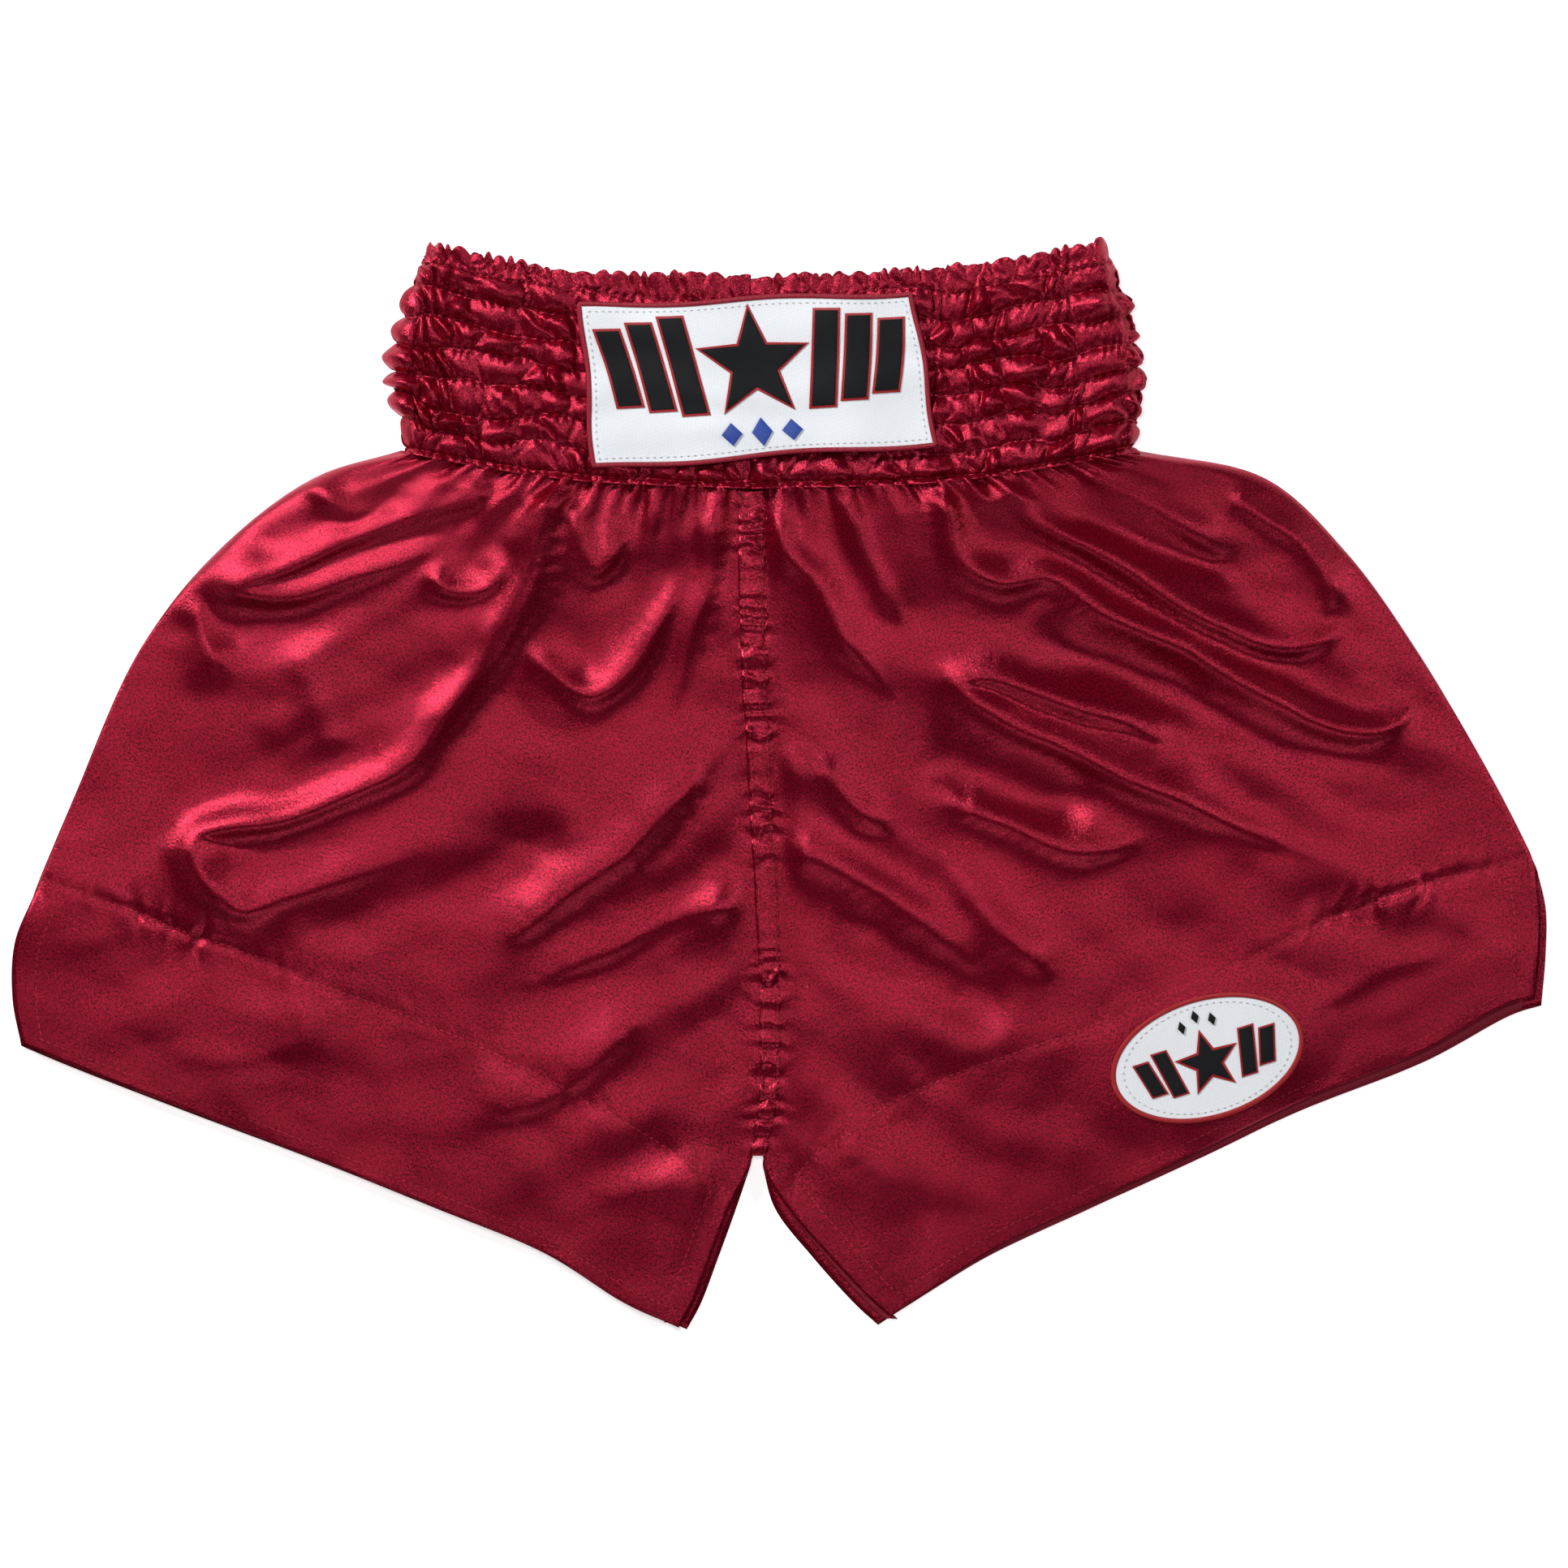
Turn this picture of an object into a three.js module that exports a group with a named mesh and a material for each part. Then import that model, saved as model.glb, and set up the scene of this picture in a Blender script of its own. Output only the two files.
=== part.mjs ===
// Satin boxing shorts, lying flat with the front up: four leg panels, a shirred waistband
// with seven elastics, hem facings, felled seams and two embroidered badges.
//
// Units are millimetres. X runs to the wearer's left, Y from the hems to the waist, Z up,
// and the origin is under the middle of the shorts, on the surface that they lie on.
import * as THREE from "three";

// ---- Driving dimensions ------------------------------------------------------------

const GAP = 0.3; // clearance between pieces that touch
const ELASTICS = 7;
const CHANNEL = 12; // from one row of shirring stitches to the next
const ELASTIC_WIDTH = 10;
const ELASTIC_THICK = 1.2;
const BACK_THICK = 3; // a rippled satin layer, folds included
const FRONT_THICK = 4;
const FACING_THICK = 1; // flat satin, turned inside
const CASING_THICK = 4; // the puffed layer over the elastics
const WAIST_HOLLOW = 8; // between the two inner faces of the waistband
const HEM_RISE = 11; // underside of the front panels above the floor, at the hem tips
const WAIST_RISE = 15; // and at the waist seam
const SEAM_THICK = 3;
const SIDE_SEAM_WIDTH = 6;
const HEM_SHARE = 0.2; // share of a panel's length that its turned-up hem covers, about 70 mm
const BADGE = { width: 150, height: 73, thick: 1, tilt: 0.055, x: -9, y: 181 };
// The leaning bars beside each badge's star, from the star outwards.
const BARS = { width: 10, tallest: 42, step: 5, lean: 3.5, first: 31, pitch: 14 };
const OVAL_BARS = { width: 6, tallest: 20, step: 5, lean: 2, first: 18, pitch: 9 };
const OVAL = { a: 45.5, b: 28, thick: 1, tilt: 0.33, x: 190, y: -121 };
const BORDER = 2.6; // width of a badge's overlocked border
const MOTIF_THICK = 0.8;
const CLOTH_STEPS = 10; // faces across a panel
const LONG_STEPS = 18; // and down its length
const SEAM_GAP = 0.7; // between the centre seams and the panels that they join

// Outlines as [x, y], each from the waist down or from the centre outwards. "right" and
// "left" are the wearer's. The seams of a garment laid out by hand aren't quite straight,
// so the two halves differ.
// The centre seam's third number is its width, which narrows towards the crotch.
const CENTRE_SEAM = [
  [-12.5, 131, 9], [-11, 60, 9], [-7, -20, 8], [-4, -90, 7], [-5, -140, 5.5], [-10, -168, 4],
];
const OUTLINE = {
  right: {
    sideSeam: [[-169, 147], [-207, 136], [-250, 103], [-284, 60], [-313, -5], [-331, -48]],
    vent: [[-331, -48], [-340, -70], [-341, -95], [-337, -116]],
    hem: [[-41, -242], [-66, -231], [-100, -210], [-153, -188], [-208, -166], [-264, -145],
      [-318, -124], [-337, -116]],
    inseam: [[-12.6, -169], [-19, -188], [-27, -210], [-35, -231], [-41, -242]],
  },
  left: {
    sideSeam: [[160, 148], [216, 136], [252, 103], [283, 60], [321, -5], [337, -38]],
    vent: [[337, -38], [341, -55], [341, -75], [339, -98]],
    hem: [[44, -240], [58, -231], [92, -210], [139, -188], [187, -166], [231, -145],
      [287, -123], [326, -102], [339, -98]],
    inseam: [[-7.4, -169], [-2, -188], [15, -210], [34, -231], [44, -240]],
  },
};
const WAISTBAND = {
  right: {
    bottom: [[-12.5, 131], [-94, 135], [-168, 147]],
    top: [[-12.5, 226], [-94, 229], [-158, 241]],
    side: [[-168, 147], [-173, 190], [-158, 241]],
  },
  left: {
    bottom: [[-12.5, 131], [74, 134], [159, 147]],
    top: [[-12.5, 226], [74, 230], [147, 242]],
    side: [[159, 147], [162, 190], [147, 242]],
  },
};

// ---- Layers of the waistband, from the floor up --------------------------------------

const LAYERS = (() => {
  const casingBack = [0, CASING_THICK];
  const elasticBack = [casingBack[1] + GAP, casingBack[1] + GAP + ELASTIC_THICK];
  const facingBack = [elasticBack[1] + GAP, elasticBack[1] + GAP + FACING_THICK];
  const facingFront = [facingBack[1] + WAIST_HOLLOW, facingBack[1] + WAIST_HOLLOW + FACING_THICK];
  const elasticFront = [facingFront[1] + GAP, facingFront[1] + GAP + ELASTIC_THICK];
  const casingFront = [elasticFront[1] + GAP, elasticFront[1] + GAP + CASING_THICK];
  return { casingBack, elasticBack, facingBack, facingFront, elasticFront, casingFront };
})();
const WAIST_MIDDLE = (LAYERS.casingBack[0] + LAYERS.casingFront[1]) / 2;

// ---- Shape helpers -------------------------------------------------------------------

const curve = (points) => {
  const places = points.map(([x, y, z = 0]) => new THREE.Vector3(x, y, z));
  return new THREE.CatmullRomCurve3(places, false, "centripetal");
};
const at = (line, t) => line.getPointAt(Math.min(1, Math.max(0, t)));
const mix = THREE.MathUtils.lerp;
const smooth = THREE.MathUtils.smoothstep;

// Several curves end to end, as one function of 0 to 1 by length.
function chain(...lines) {
  const lengths = lines.map((line) => line.getLength());
  const total = lengths.reduce((sum, length) => sum + length, 0);
  return (t) => {
    let left = Math.min(1, Math.max(0, t)) * total;
    for (const [i, line] of lines.entries()) {
      if (left <= lengths[i] || i === lines.length - 1) return at(line, left / lengths[i]);
      left -= lengths[i];
    }
  };
}

// A Coons patch: a point inside four edges, u from the inner to the outer, v from first to last.
function patch(first, last, inner, outer) {
  const corner = [first(0), first(1), last(0), last(1)];
  return (u, v) => {
    const [a, b, c, d] = [first(u), last(u), inner(v), outer(v)];
    const blend = (k) =>
      mix(a[k], b[k], v) + mix(c[k], d[k], u) -
      mix(mix(corner[0][k], corner[1][k], u), mix(corner[2][k], corner[3][k], u), v);
    return [blend("x"), blend("y")];
  };
}

// Whether a patch runs clockwise, seen from above.
function clockwise(place) {
  const [[x, y], [ux, uy], [vx, vy]] = [place(0.5, 0.5), place(0.6, 0.5), place(0.5, 0.6)];
  return (ux - x) * (vy - y) < (uy - y) * (vx - x);
}

// A closed layer of cloth: a grid over a patch, between two heights that may vary.
function layer(place, low, high, stepsU, stepsV) {
  const rows = stepsU + 1;
  const points = [];
  for (const height of [low, high])
    for (let j = 0; j <= stepsV; j++)
      for (let i = 0; i <= stepsU; i++) {
        const [x, y] = place(i / stepsU, j / stepsV);
        points.push(x, y, height(x, y, i / stepsU, j / stepsV));
      }
  const top = rows * (stepsV + 1);
  const faces = [];
  const quad = (a, b, c, d) => faces.push(a, b, c, a, c, d);
  for (let j = 0; j < stepsV; j++)
    for (let i = 0; i < stepsU; i++) {
      const a = j * rows + i;
      quad(a, a + rows, a + rows + 1, a + 1);
      quad(top + a, top + a + 1, top + a + rows + 1, top + a + rows);
    }
  for (let i = 0; i < stepsU; i++) {
    const end = stepsV * rows + i;
    quad(i, i + 1, top + i + 1, top + i);
    quad(end, top + end, top + end + 1, end + 1);
  }
  for (let j = 0; j < stepsV; j++) {
    const a = j * rows;
    const b = a + stepsU;
    quad(a, top + a, top + a + rows, a + rows);
    quad(b, b + rows, top + b + rows, top + b);
  }
  if (clockwise(place)) faces.reverse();
  const geometry = new THREE.BufferGeometry();
  geometry.setAttribute("position", new THREE.Float32BufferAttribute(points, 3));
  geometry.setIndex(faces);
  return geometry;
}

const flat = (z) => () => z;
// Height of the front panels' underside, which slopes from the waist down to the hems.
const rise = (x, y) => mix(HEM_RISE, WAIST_RISE, (y + 242) / (131 + 242));
const above = (height, more) => (x, y) => height(x, y) + more;

// ---- Materials -----------------------------------------------------------------------

const cloth = (color, roughness, metalness = 0) =>
  new THREE.MeshStandardMaterial({ color, roughness, metalness });
const MATERIALS = {
  satin: cloth(0x96102a, 0.32),
  lining: cloth(0x7c0d22, 0.45),
  elastic: cloth(0xf0eee8, 0.85),
  badge: cloth(0xeef2f6, 0.6),
  border: cloth(0xb3202c, 0.5),
  black: cloth(0x101214, 0.6),
  blue: cloth(0x2348b0, 0.5),
};

const shorts = new THREE.Group();
function add(name, geometry, material, into = shorts) {
  const mesh = new THREE.Mesh(geometry, MATERIALS[material]);
  mesh.name = name;
  into.add(mesh);
  return mesh;
}

// ---- Legs ----------------------------------------------------------------------------

// The four edges of one half of the shorts, from the waist seam to the hem.
function legEdges(side) {
  const outline = OUTLINE[side];
  const away = side === "right" ? -1 : 1;
  const centre = CENTRE_SEAM.map(([x, y, width]) => [x + away * (width / 2 + SEAM_GAP), y]);
  const band = WAISTBAND[side].bottom.map(([x, y]) => [x, y - GAP]);
  band[0] = centre[0] = [centre[0][0], band[0][1]];
  centre[centre.length - 1] = outline.inseam[0];
  const sideSeam = [band[band.length - 1], ...outline.sideSeam.slice(1)];
  return {
    waist: chain(curve(band)),
    inner: chain(curve(centre), curve(outline.inseam)),
    outer: chain(curve(sideSeam), curve(outline.vent)),
    hem: chain(curve(outline.hem)),
  };
}

const inwards = (t) => 1 - t;
const legs = { right: legEdges("right"), left: legEdges("left") };
for (const [side, edge] of Object.entries(legs)) {
  const place = patch(edge.waist, edge.hem, edge.inner, edge.outer);
  const steps = [CLOTH_STEPS, LONG_STEPS];
  add(`${side}_back_panel`, layer(place, flat(0), flat(BACK_THICK), ...steps), "satin");
  add(`${side}_front_panel`, layer(place, rise, above(rise, FRONT_THICK), ...steps), "satin");

  // Facings: the deep hem turned up inside each panel, which one row of stitches holds.
  const facing = (u, v) => place(mix(0.03, 0.97, u), 1 - HEM_SHARE * inwards(v));
  const backFacing = [flat(BACK_THICK + GAP), flat(BACK_THICK + GAP + FACING_THICK)];
  const frontFacing = [above(rise, -GAP - FACING_THICK), above(rise, -GAP)];
  add(`${side}_back_hem_facing`, layer(facing, ...backFacing, CLOTH_STEPS, 3), "lining");
  add(`${side}_front_hem_facing`, layer(facing, ...frontFacing, CLOTH_STEPS, 3), "lining");

  // Side seam and inseam: the seam allowances that stand between the two layers.
  const sideLine = curve(OUTLINE[side].sideSeam);
  const inward = side === "right" ? SIDE_SEAM_WIDTH : -SIDE_SEAM_WIDTH;
  const strip = (line, reach, from, to) => (u, v) => {
    const t = mix(from, to, v);
    const { x, y } = at(line, t);
    return [x + inwards(u) * reach, y];
  };
  const between = [flat(BACK_THICK + GAP), above(rise, -GAP)];
  const sideStrip = strip(sideLine, inward, 0.1, 0.97);
  add(`${side}_side_seam`, layer(sideStrip, ...between, 1, 12), "lining");
  const inseamLine = curve(OUTLINE[side].inseam);
  const inseamBetween = [
    flat(BACK_THICK + FACING_THICK + 2 * GAP),
    above(rise, -FACING_THICK - 2 * GAP),
  ];
  const inseamStrip = strip(inseamLine, -inward, 0.08, 0.9);
  add(`${side}_inseam`, layer(inseamStrip, ...inseamBetween, 1, 5), "lining");
}

// The centre seams join the two halves, front and back, from the waist to the crotch.
const seamLine = curve(CENTRE_SEAM);
const seamPlace = (u, v) => {
  const { x, y, z: width } = at(seamLine, mix(0.003, 0.985, v));
  return [x + (u - 0.5) * width, y];
};
add("centre_back_seam", layer(seamPlace, flat(0), flat(SEAM_THICK), 1, LONG_STEPS), "satin");
add(
  "centre_front_seam",
  layer(seamPlace, above(rise, FRONT_THICK - SEAM_THICK), above(rise, FRONT_THICK), 1, LONG_STEPS),
  "satin",
);

// ---- Waistband -----------------------------------------------------------------------

const BAND_WRAP = 13 / 14; // where the casing starts to turn round the side
for (const side of ["right", "left"]) {
  const away = side === "right" ? -1 : 1;
  const [bottom, top] = [WAISTBAND[side].bottom, WAISTBAND[side].top].map((points) => {
    const line = curve(points);
    return (t) => {
      const point = at(line, t);
      point.x += away * GAP * inwards(t);
      return point;
    };
  });
  const centre = (v) => bottom(0).lerp(top(0), v);
  const end = chain(curve(WAISTBAND[side].side));
  const place = patch(bottom, top, centre, end);
  const inside = (u, v) => place(mix(0.005, 0.86, u), mix(0.02, 0.98, v));
  const turn = (u) => smooth(u, BAND_WRAP, 1);
  const middle = (z, u, more) => mix(z, WAIST_MIDDLE + more, turn(u));
  const casing = {
    front: [(x, y, u) => middle(LAYERS.casingFront[0], u, GAP / 2), flat(LAYERS.casingFront[1])],
    back: [flat(LAYERS.casingBack[0]), (x, y, u) => middle(LAYERS.casingBack[1], u, -GAP / 2)],
  };
  const facing = {
    front: LAYERS.facingFront.map(flat),
    back: LAYERS.facingBack.map(flat),
  };
  for (const face of ["front", "back"]) {
    add(`${side}_${face}_waist_casing`, layer(place, ...casing[face], 14, 4), "satin");
    add(`${side}_${face}_waist_facing`, layer(inside, ...facing[face], 8, 3), "lining");
  }
}

// One elastic: a flat loop that runs across the front, round the side and across the back.
function elasticLoop(row) {
  const middle = (row + 0.5) * CHANNEL + 3; // above the waist seam
  const share = (row + 0.7) / (ELASTICS + 0.6);
  const reach = {
    right: at(curve(WAISTBAND.right.side), share).x + 19,
    left: at(curve(WAISTBAND.left.side), share).x - 19,
  };
  const radius = (LAYERS.elasticFront[0] - LAYERS.elasticBack[1]) / 2;
  const level = (LAYERS.elasticFront[0] + LAYERS.elasticBack[1]) / 2;
  const runs = 8;
  const turns = 5;
  const ends = [];
  for (let i = 0; i < runs; i++) ends.push({ x: mix(reach.right, reach.left, i / runs), angle: 90 });
  for (let i = 0; i < turns; i++) ends.push({ x: reach.left, angle: mix(90, -90, i / turns) });
  for (let i = 0; i < runs; i++) ends.push({ x: mix(reach.left, reach.right, i / runs), angle: -90 });
  for (let i = 0; i < turns; i++) ends.push({ x: reach.right, angle: mix(-90, -270, i / turns) });
  const points = [];
  for (const { x, angle } of ends) {
    const a = THREE.MathUtils.degToRad(angle);
    const bow = 131 + 6e-4 * (x + 12.5) ** 2; // the band curves up towards both sides
    for (const across of [-ELASTIC_WIDTH / 2, ELASTIC_WIDTH / 2])
      for (const out of [radius, radius + ELASTIC_THICK])
        points.push(x + Math.cos(a) * out, bow + middle + across, level + Math.sin(a) * out);
  }
  const count = ends.length;
  const faces = [];
  for (let i = 0; i < count; i++) {
    const [a, b] = [4 * i, 4 * ((i + 1) % count)];
    for (const [p, q] of [[0, 2], [2, 3], [3, 1], [1, 0]])
      faces.push(a + p, a + q, b + q, a + p, b + q, b + p);
  }
  const geometry = new THREE.BufferGeometry();
  geometry.setAttribute("position", new THREE.Float32BufferAttribute(points, 3));
  geometry.setIndex(faces);
  return geometry;
}
for (let row = 0; row < ELASTICS; row++) add(`elastic_${row + 1}`, elasticLoop(row), "elastic");

// ---- Badges --------------------------------------------------------------------------

const extrude = (shape, depth, curveSegments = 24) =>
  new THREE.ExtrudeGeometry(shape, { depth, bevelEnabled: false, curveSegments });
const polygon = (points) => new THREE.Shape(points.map(([x, y]) => new THREE.Vector2(x, y)));
const box = (width, height) => {
  const [x, y] = [width / 2, height / 2];
  return polygon([[-x, -y], [x, -y], [x, y], [-x, y]]);
};
function ellipse(a, b) {
  const shape = new THREE.Shape();
  shape.absellipse(0, 0, a, b, 0, 2 * Math.PI);
  return shape;
}
function star(radius, waist = 0.42) {
  const points = [];
  for (let i = 0; i < 10; i++) {
    const r = i % 2 ? radius * waist : radius;
    const a = Math.PI / 2 + (i * Math.PI) / 5;
    points.push([r * Math.cos(a), r * Math.sin(a)]);
  }
  return polygon(points);
}
const diamond = (w, h) => polygon([[w / 2, 0], [0, h / 2], [-w / 2, 0], [0, -h / 2]]);
// The i-th bar beside a star. It leans away: hand is -1 to the wearer's right and 1 to the left.
const bar = (hand, i, { width, tallest, step, lean }) => {
  const [x, y] = [width / 2, (tallest - step * i) / 2];
  const points = [[-x - lean, -y], [x - lean, -y], [x + lean, y], [-x + lean, y]];
  return polygon(points.map(([across, up]) => [hand * across, up]));
};
function withHole(outer, hole) {
  outer.holes.push(hole);
  return outer;
}

function placed({ x, y, tilt }, z) {
  const group = new THREE.Group();
  group.position.set(x, y, z);
  group.rotation.z = tilt;
  shorts.add(group);
  return group;
}
function addMotif(group, name, shape, x, y, z, material) {
  add(name, extrude(shape, MOTIF_THICK, 8), material, group).position.set(x, y, z);
}

// The embroidery of one badge: a star between leaning bars, and three diamonds.
function embroider(group, badge, face, { starRadius, starRise, bars, count, barRise, diamonds, color }) {
  addMotif(group, `${badge}_star`, star(starRadius), 0, starRise, face, "black");
  for (const [side, hand] of [["right", -1], ["left", 1]])
    for (let i = 0; i < count; i++) {
      const x = hand * (bars.first + bars.pitch * i);
      addMotif(group, `${badge}_${side}_bar_${i + 1}`, bar(hand, i, bars), x, barRise, face, "black");
    }
  for (const [i, name] of ["right", "middle", "left"].entries()) {
    const { width, height, middleHeight, pitch, rise: up, middleRise } = diamonds;
    const [tall, y] = i === 1 ? [middleHeight, middleRise] : [height, up];
    addMotif(group, `${badge}_${name}_diamond`, diamond(width, tall), pitch * (i - 1), y, face, color);
  }
}

const waistBadge = placed(BADGE, LAYERS.casingFront[1] + GAP);
const opening = [BADGE.width - 2 * BORDER, BADGE.height - 2 * BORDER];
const waistCloth = box(opening[0] - 2 * GAP, opening[1] - 2 * GAP);
add("waist_badge_cloth", extrude(waistCloth, BADGE.thick), "badge", waistBadge);
const waistBorder = withHole(box(BADGE.width, BADGE.height), box(...opening));
add("waist_badge_border", extrude(waistBorder, BADGE.thick + 0.6), "border", waistBadge);
embroider(waistBadge, "waist_badge", BADGE.thick + GAP, {
  starRadius: 24, starRise: 6, bars: BARS, count: 3, barRise: 7, color: "blue",
  diamonds: { width: 9, height: 10, middleHeight: 13, pitch: 13, rise: -24, middleRise: -24 },
});

const legBadge = placed(OVAL, rise(OVAL.x, OVAL.y) + FRONT_THICK + 2 * GAP + 0.3);
const inner = [OVAL.a - BORDER, OVAL.b - BORDER];
add("leg_badge_cloth", extrude(ellipse(inner[0] - GAP, inner[1] - GAP), OVAL.thick), "badge", legBadge);
const legBorder = withHole(ellipse(OVAL.a, OVAL.b), ellipse(...inner));
add("leg_badge_border", extrude(legBorder, OVAL.thick + 0.6), "border", legBadge);
embroider(legBadge, "leg_badge", OVAL.thick + GAP, {
  starRadius: 13, starRise: -2, bars: OVAL_BARS, count: 2, barRise: -2, color: "black",
  diamonds: { width: 3.6, height: 6, middleHeight: 6, pitch: 7, rise: 16, middleRise: 19 },
});

export default shorts;
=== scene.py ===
"""Satin boxing shorts laid flat with the front up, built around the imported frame.

Blender works in metres and this script in millimetres: MM turns one into the other where a
mesh is made. X runs to the wearer's left, Y from the hems to the waist and Z up. "right" and
"left" are the wearer's.
"""

import math

import bmesh
import bpy
import numpy as np
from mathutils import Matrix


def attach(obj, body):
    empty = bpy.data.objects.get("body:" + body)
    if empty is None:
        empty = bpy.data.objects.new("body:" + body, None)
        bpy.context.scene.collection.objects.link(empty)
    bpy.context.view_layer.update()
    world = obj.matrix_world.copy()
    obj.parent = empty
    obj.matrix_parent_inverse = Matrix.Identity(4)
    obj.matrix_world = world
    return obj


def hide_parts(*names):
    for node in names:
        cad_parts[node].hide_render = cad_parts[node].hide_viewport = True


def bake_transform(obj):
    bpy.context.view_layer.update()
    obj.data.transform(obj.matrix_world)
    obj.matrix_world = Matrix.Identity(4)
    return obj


MM = 0.001

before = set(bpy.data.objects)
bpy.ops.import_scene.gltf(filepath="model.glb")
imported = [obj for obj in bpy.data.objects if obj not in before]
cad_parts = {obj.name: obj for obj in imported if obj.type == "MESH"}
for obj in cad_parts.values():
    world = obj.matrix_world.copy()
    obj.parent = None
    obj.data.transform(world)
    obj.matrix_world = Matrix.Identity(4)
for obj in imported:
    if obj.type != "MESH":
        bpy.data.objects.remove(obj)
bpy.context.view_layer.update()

# ---- Cut of the shorts, mm ------------------------------------------------------------

SIDES = ("right", "left")
AWAY = {"right": -1, "left": 1}  # direction of each side along X
CENTRE_SEAM = [(-12.5, 131), (-11, 60), (-7, -20), (-4, -90), (-5, -140), (-10, -169)]
SEAM_HALF_WIDTH = [4.6, 4.5, 3.8, 3.2, 2.6, 2.0]  # at the points of the centre seam
WAIST = {
    "right": {"bottom": [(-12.5, 131), (-94, 135), (-168, 147)], "top": [(-12.5, 226), (-94, 229), (-158, 241)]},
    "left": {"bottom": [(-12.5, 131), (74, 134), (159, 147)], "top": [(-12.5, 226), (74, 230), (147, 242)]},
}
WAIST_SIDE = {"right": [(-168, 147), (-173, 190), (-158, 241)], "left": [(159, 147), (162, 190), (147, 242)]}
OUTLINE = {
    "right": {
        "side": [(-169, 147), (-207, 136), (-250, 103), (-284, 60), (-313, -5), (-331, -48)],
        "vent": [(-331, -48), (-340, -70), (-341, -95), (-337, -116)],
        "hem": [(-41, -242), (-66, -231), (-100, -210), (-153, -188), (-208, -166), (-264, -145),
                (-318, -124), (-337, -116)],
        "inseam": [(-12.6, -169), (-19, -188), (-27, -210), (-35, -231), (-41, -242)],
    },
    "left": {
        "side": [(160, 148), (216, 136), (252, 103), (283, 60), (321, -5), (337, -38)],
        "vent": [(337, -38), (341, -55), (341, -75), (339, -98)],
        "hem": [(44, -240), (58, -231), (92, -210), (139, -188), (187, -166), (231, -145),
                (287, -123), (326, -102), (339, -98)],
        "inseam": [(-7.4, -169), (-2, -188), (15, -210), (34, -231), (44, -240)],
    },
}
# How far the front layer's edge lies inside the back layer's, at the hem, vent and inseam.
FRONT_INSET = {"right": {"hem": 1.0, "vent": 1.5, "inseam": 3.5}, "left": {"hem": 4.0, "vent": 4.0, "inseam": 5.5}}
HEM_ROW = {  # the row of stitches that holds the turned-up hem
    "right": [(-325, -42), (-286, -56), (-259, -67), (-243, -72), (-202, -89), (-169, -101), (-116, -124),
              (-58, -156), (-40, -168), (-22, -181)],
    "left": [(329, -33), (304, -39), (282, -45), (264, -51), (238, -62), (212, -75), (180, -91), (130, -110),
             (79, -128), (54, -139), (33, -153), (13, -167), (4, -182)],
}
HEM_PULL = {"right": 0.19, "left": 0.17}  # where along it that row puckers most
ROWS = 8  # rows of shirring stitches, with an elastic between each two
FIRST_ROW = 3.0  # above the waist seam
ROW_PITCH = 12.0
BAND_HEIGHT = 97.5
BADGE = [(-89, 213), (60, 219), (71, 150), (-83, 139)]  # corners, clockwise from the top right side
OVAL = {"x": 190.0, "y": -121.0, "a": 45.0, "b": 27.5, "tilt": 0.30}

# Heights above the surface that the shorts lie on.
FLOOR_CLEAR = 0.6
SEAM_LEVEL = 5.5  # where the front and back layers meet at a side seam
WAIST_LEVEL = 17.0  # front panels at the waist seam
BAND_BASE = 17.4  # stitch rows of the front casing
BAND_MIDDLE = 10.8
CLOTH = 0.55  # thickness of one layer of satin

# ---- Arrays ---------------------------------------------------------------------------


def ramp(x, low, high):
    """0 below low, 1 above high, and smooth between them."""
    t = np.clip((np.asarray(x, float) - low) / (high - low), 0, 1)
    return t * t * (3 - 2 * t)


def mix(a, b, t):
    return a + (b - a) * t


class Line:
    """A smooth line through a few points, read by share of its length from 0 to 1."""

    def __init__(self, points):
        p = np.array(points, float)
        p = np.vstack([2 * p[0] - p[1], p, 2 * p[-1] - p[-2]])
        knots = np.concatenate([[0], np.cumsum(np.linalg.norm(np.diff(p, axis=0), axis=1) ** 0.5)])
        pieces = []
        for i in range(1, len(p) - 2):
            t = np.linspace(knots[i], knots[i + 1], 40)[:, None]
            k = knots[i - 1:i + 3]
            a = [mix(p[i - 1 + j], p[i + j], (t - k[j]) / (k[j + 1] - k[j])) for j in range(3)]
            b = [mix(a[j], a[j + 1], (t - k[j]) / (k[j + 2] - k[j])) for j in range(2)]
            pieces.append(mix(b[0], b[1], (t - k[1]) / (k[2] - k[1])))
        self.points = np.vstack(pieces)
        steps = np.linalg.norm(np.diff(self.points, axis=0), axis=1)
        self.along = np.concatenate([[0], np.cumsum(steps)])
        self.length = self.along[-1]

    def __call__(self, share):
        at = np.clip(share, 0, 1) * self.length
        return np.stack([np.interp(at, self.along, self.points[:, k]) for k in range(self.points.shape[1])], -1)


class Chain:
    """Lines end to end, read by share of their whole length."""

    def __init__(self, *lines):
        self.lines = lines
        self.ends = np.cumsum([line.length for line in lines])
        self.length = self.ends[-1]

    def __call__(self, share):
        at = np.clip(np.asarray(share, float), 0, 1) * self.length
        result = None
        for line, end in zip(self.lines, self.ends):
            here = line((at - (end - line.length)) / line.length)
            result = here if result is None else np.where((at > end - line.length)[..., None], here, result)
        return result


def coons(first, last, inner, outer, u, v):
    """Points inside four edges: u runs from the inner edge to the outer, v from the first to the last."""
    a, b = first(u)[None, :, :], last(u)[None, :, :]
    c, d = inner(v)[:, None, :], outer(v)[:, None, :]
    uu, vv = u[None, :, None], v[:, None, None]
    corners = mix(mix(first(0.0), first(1.0), uu), mix(last(0.0), last(1.0), uu), vv)
    return mix(a, b, vv) + mix(c, d, uu) - corners


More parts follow.
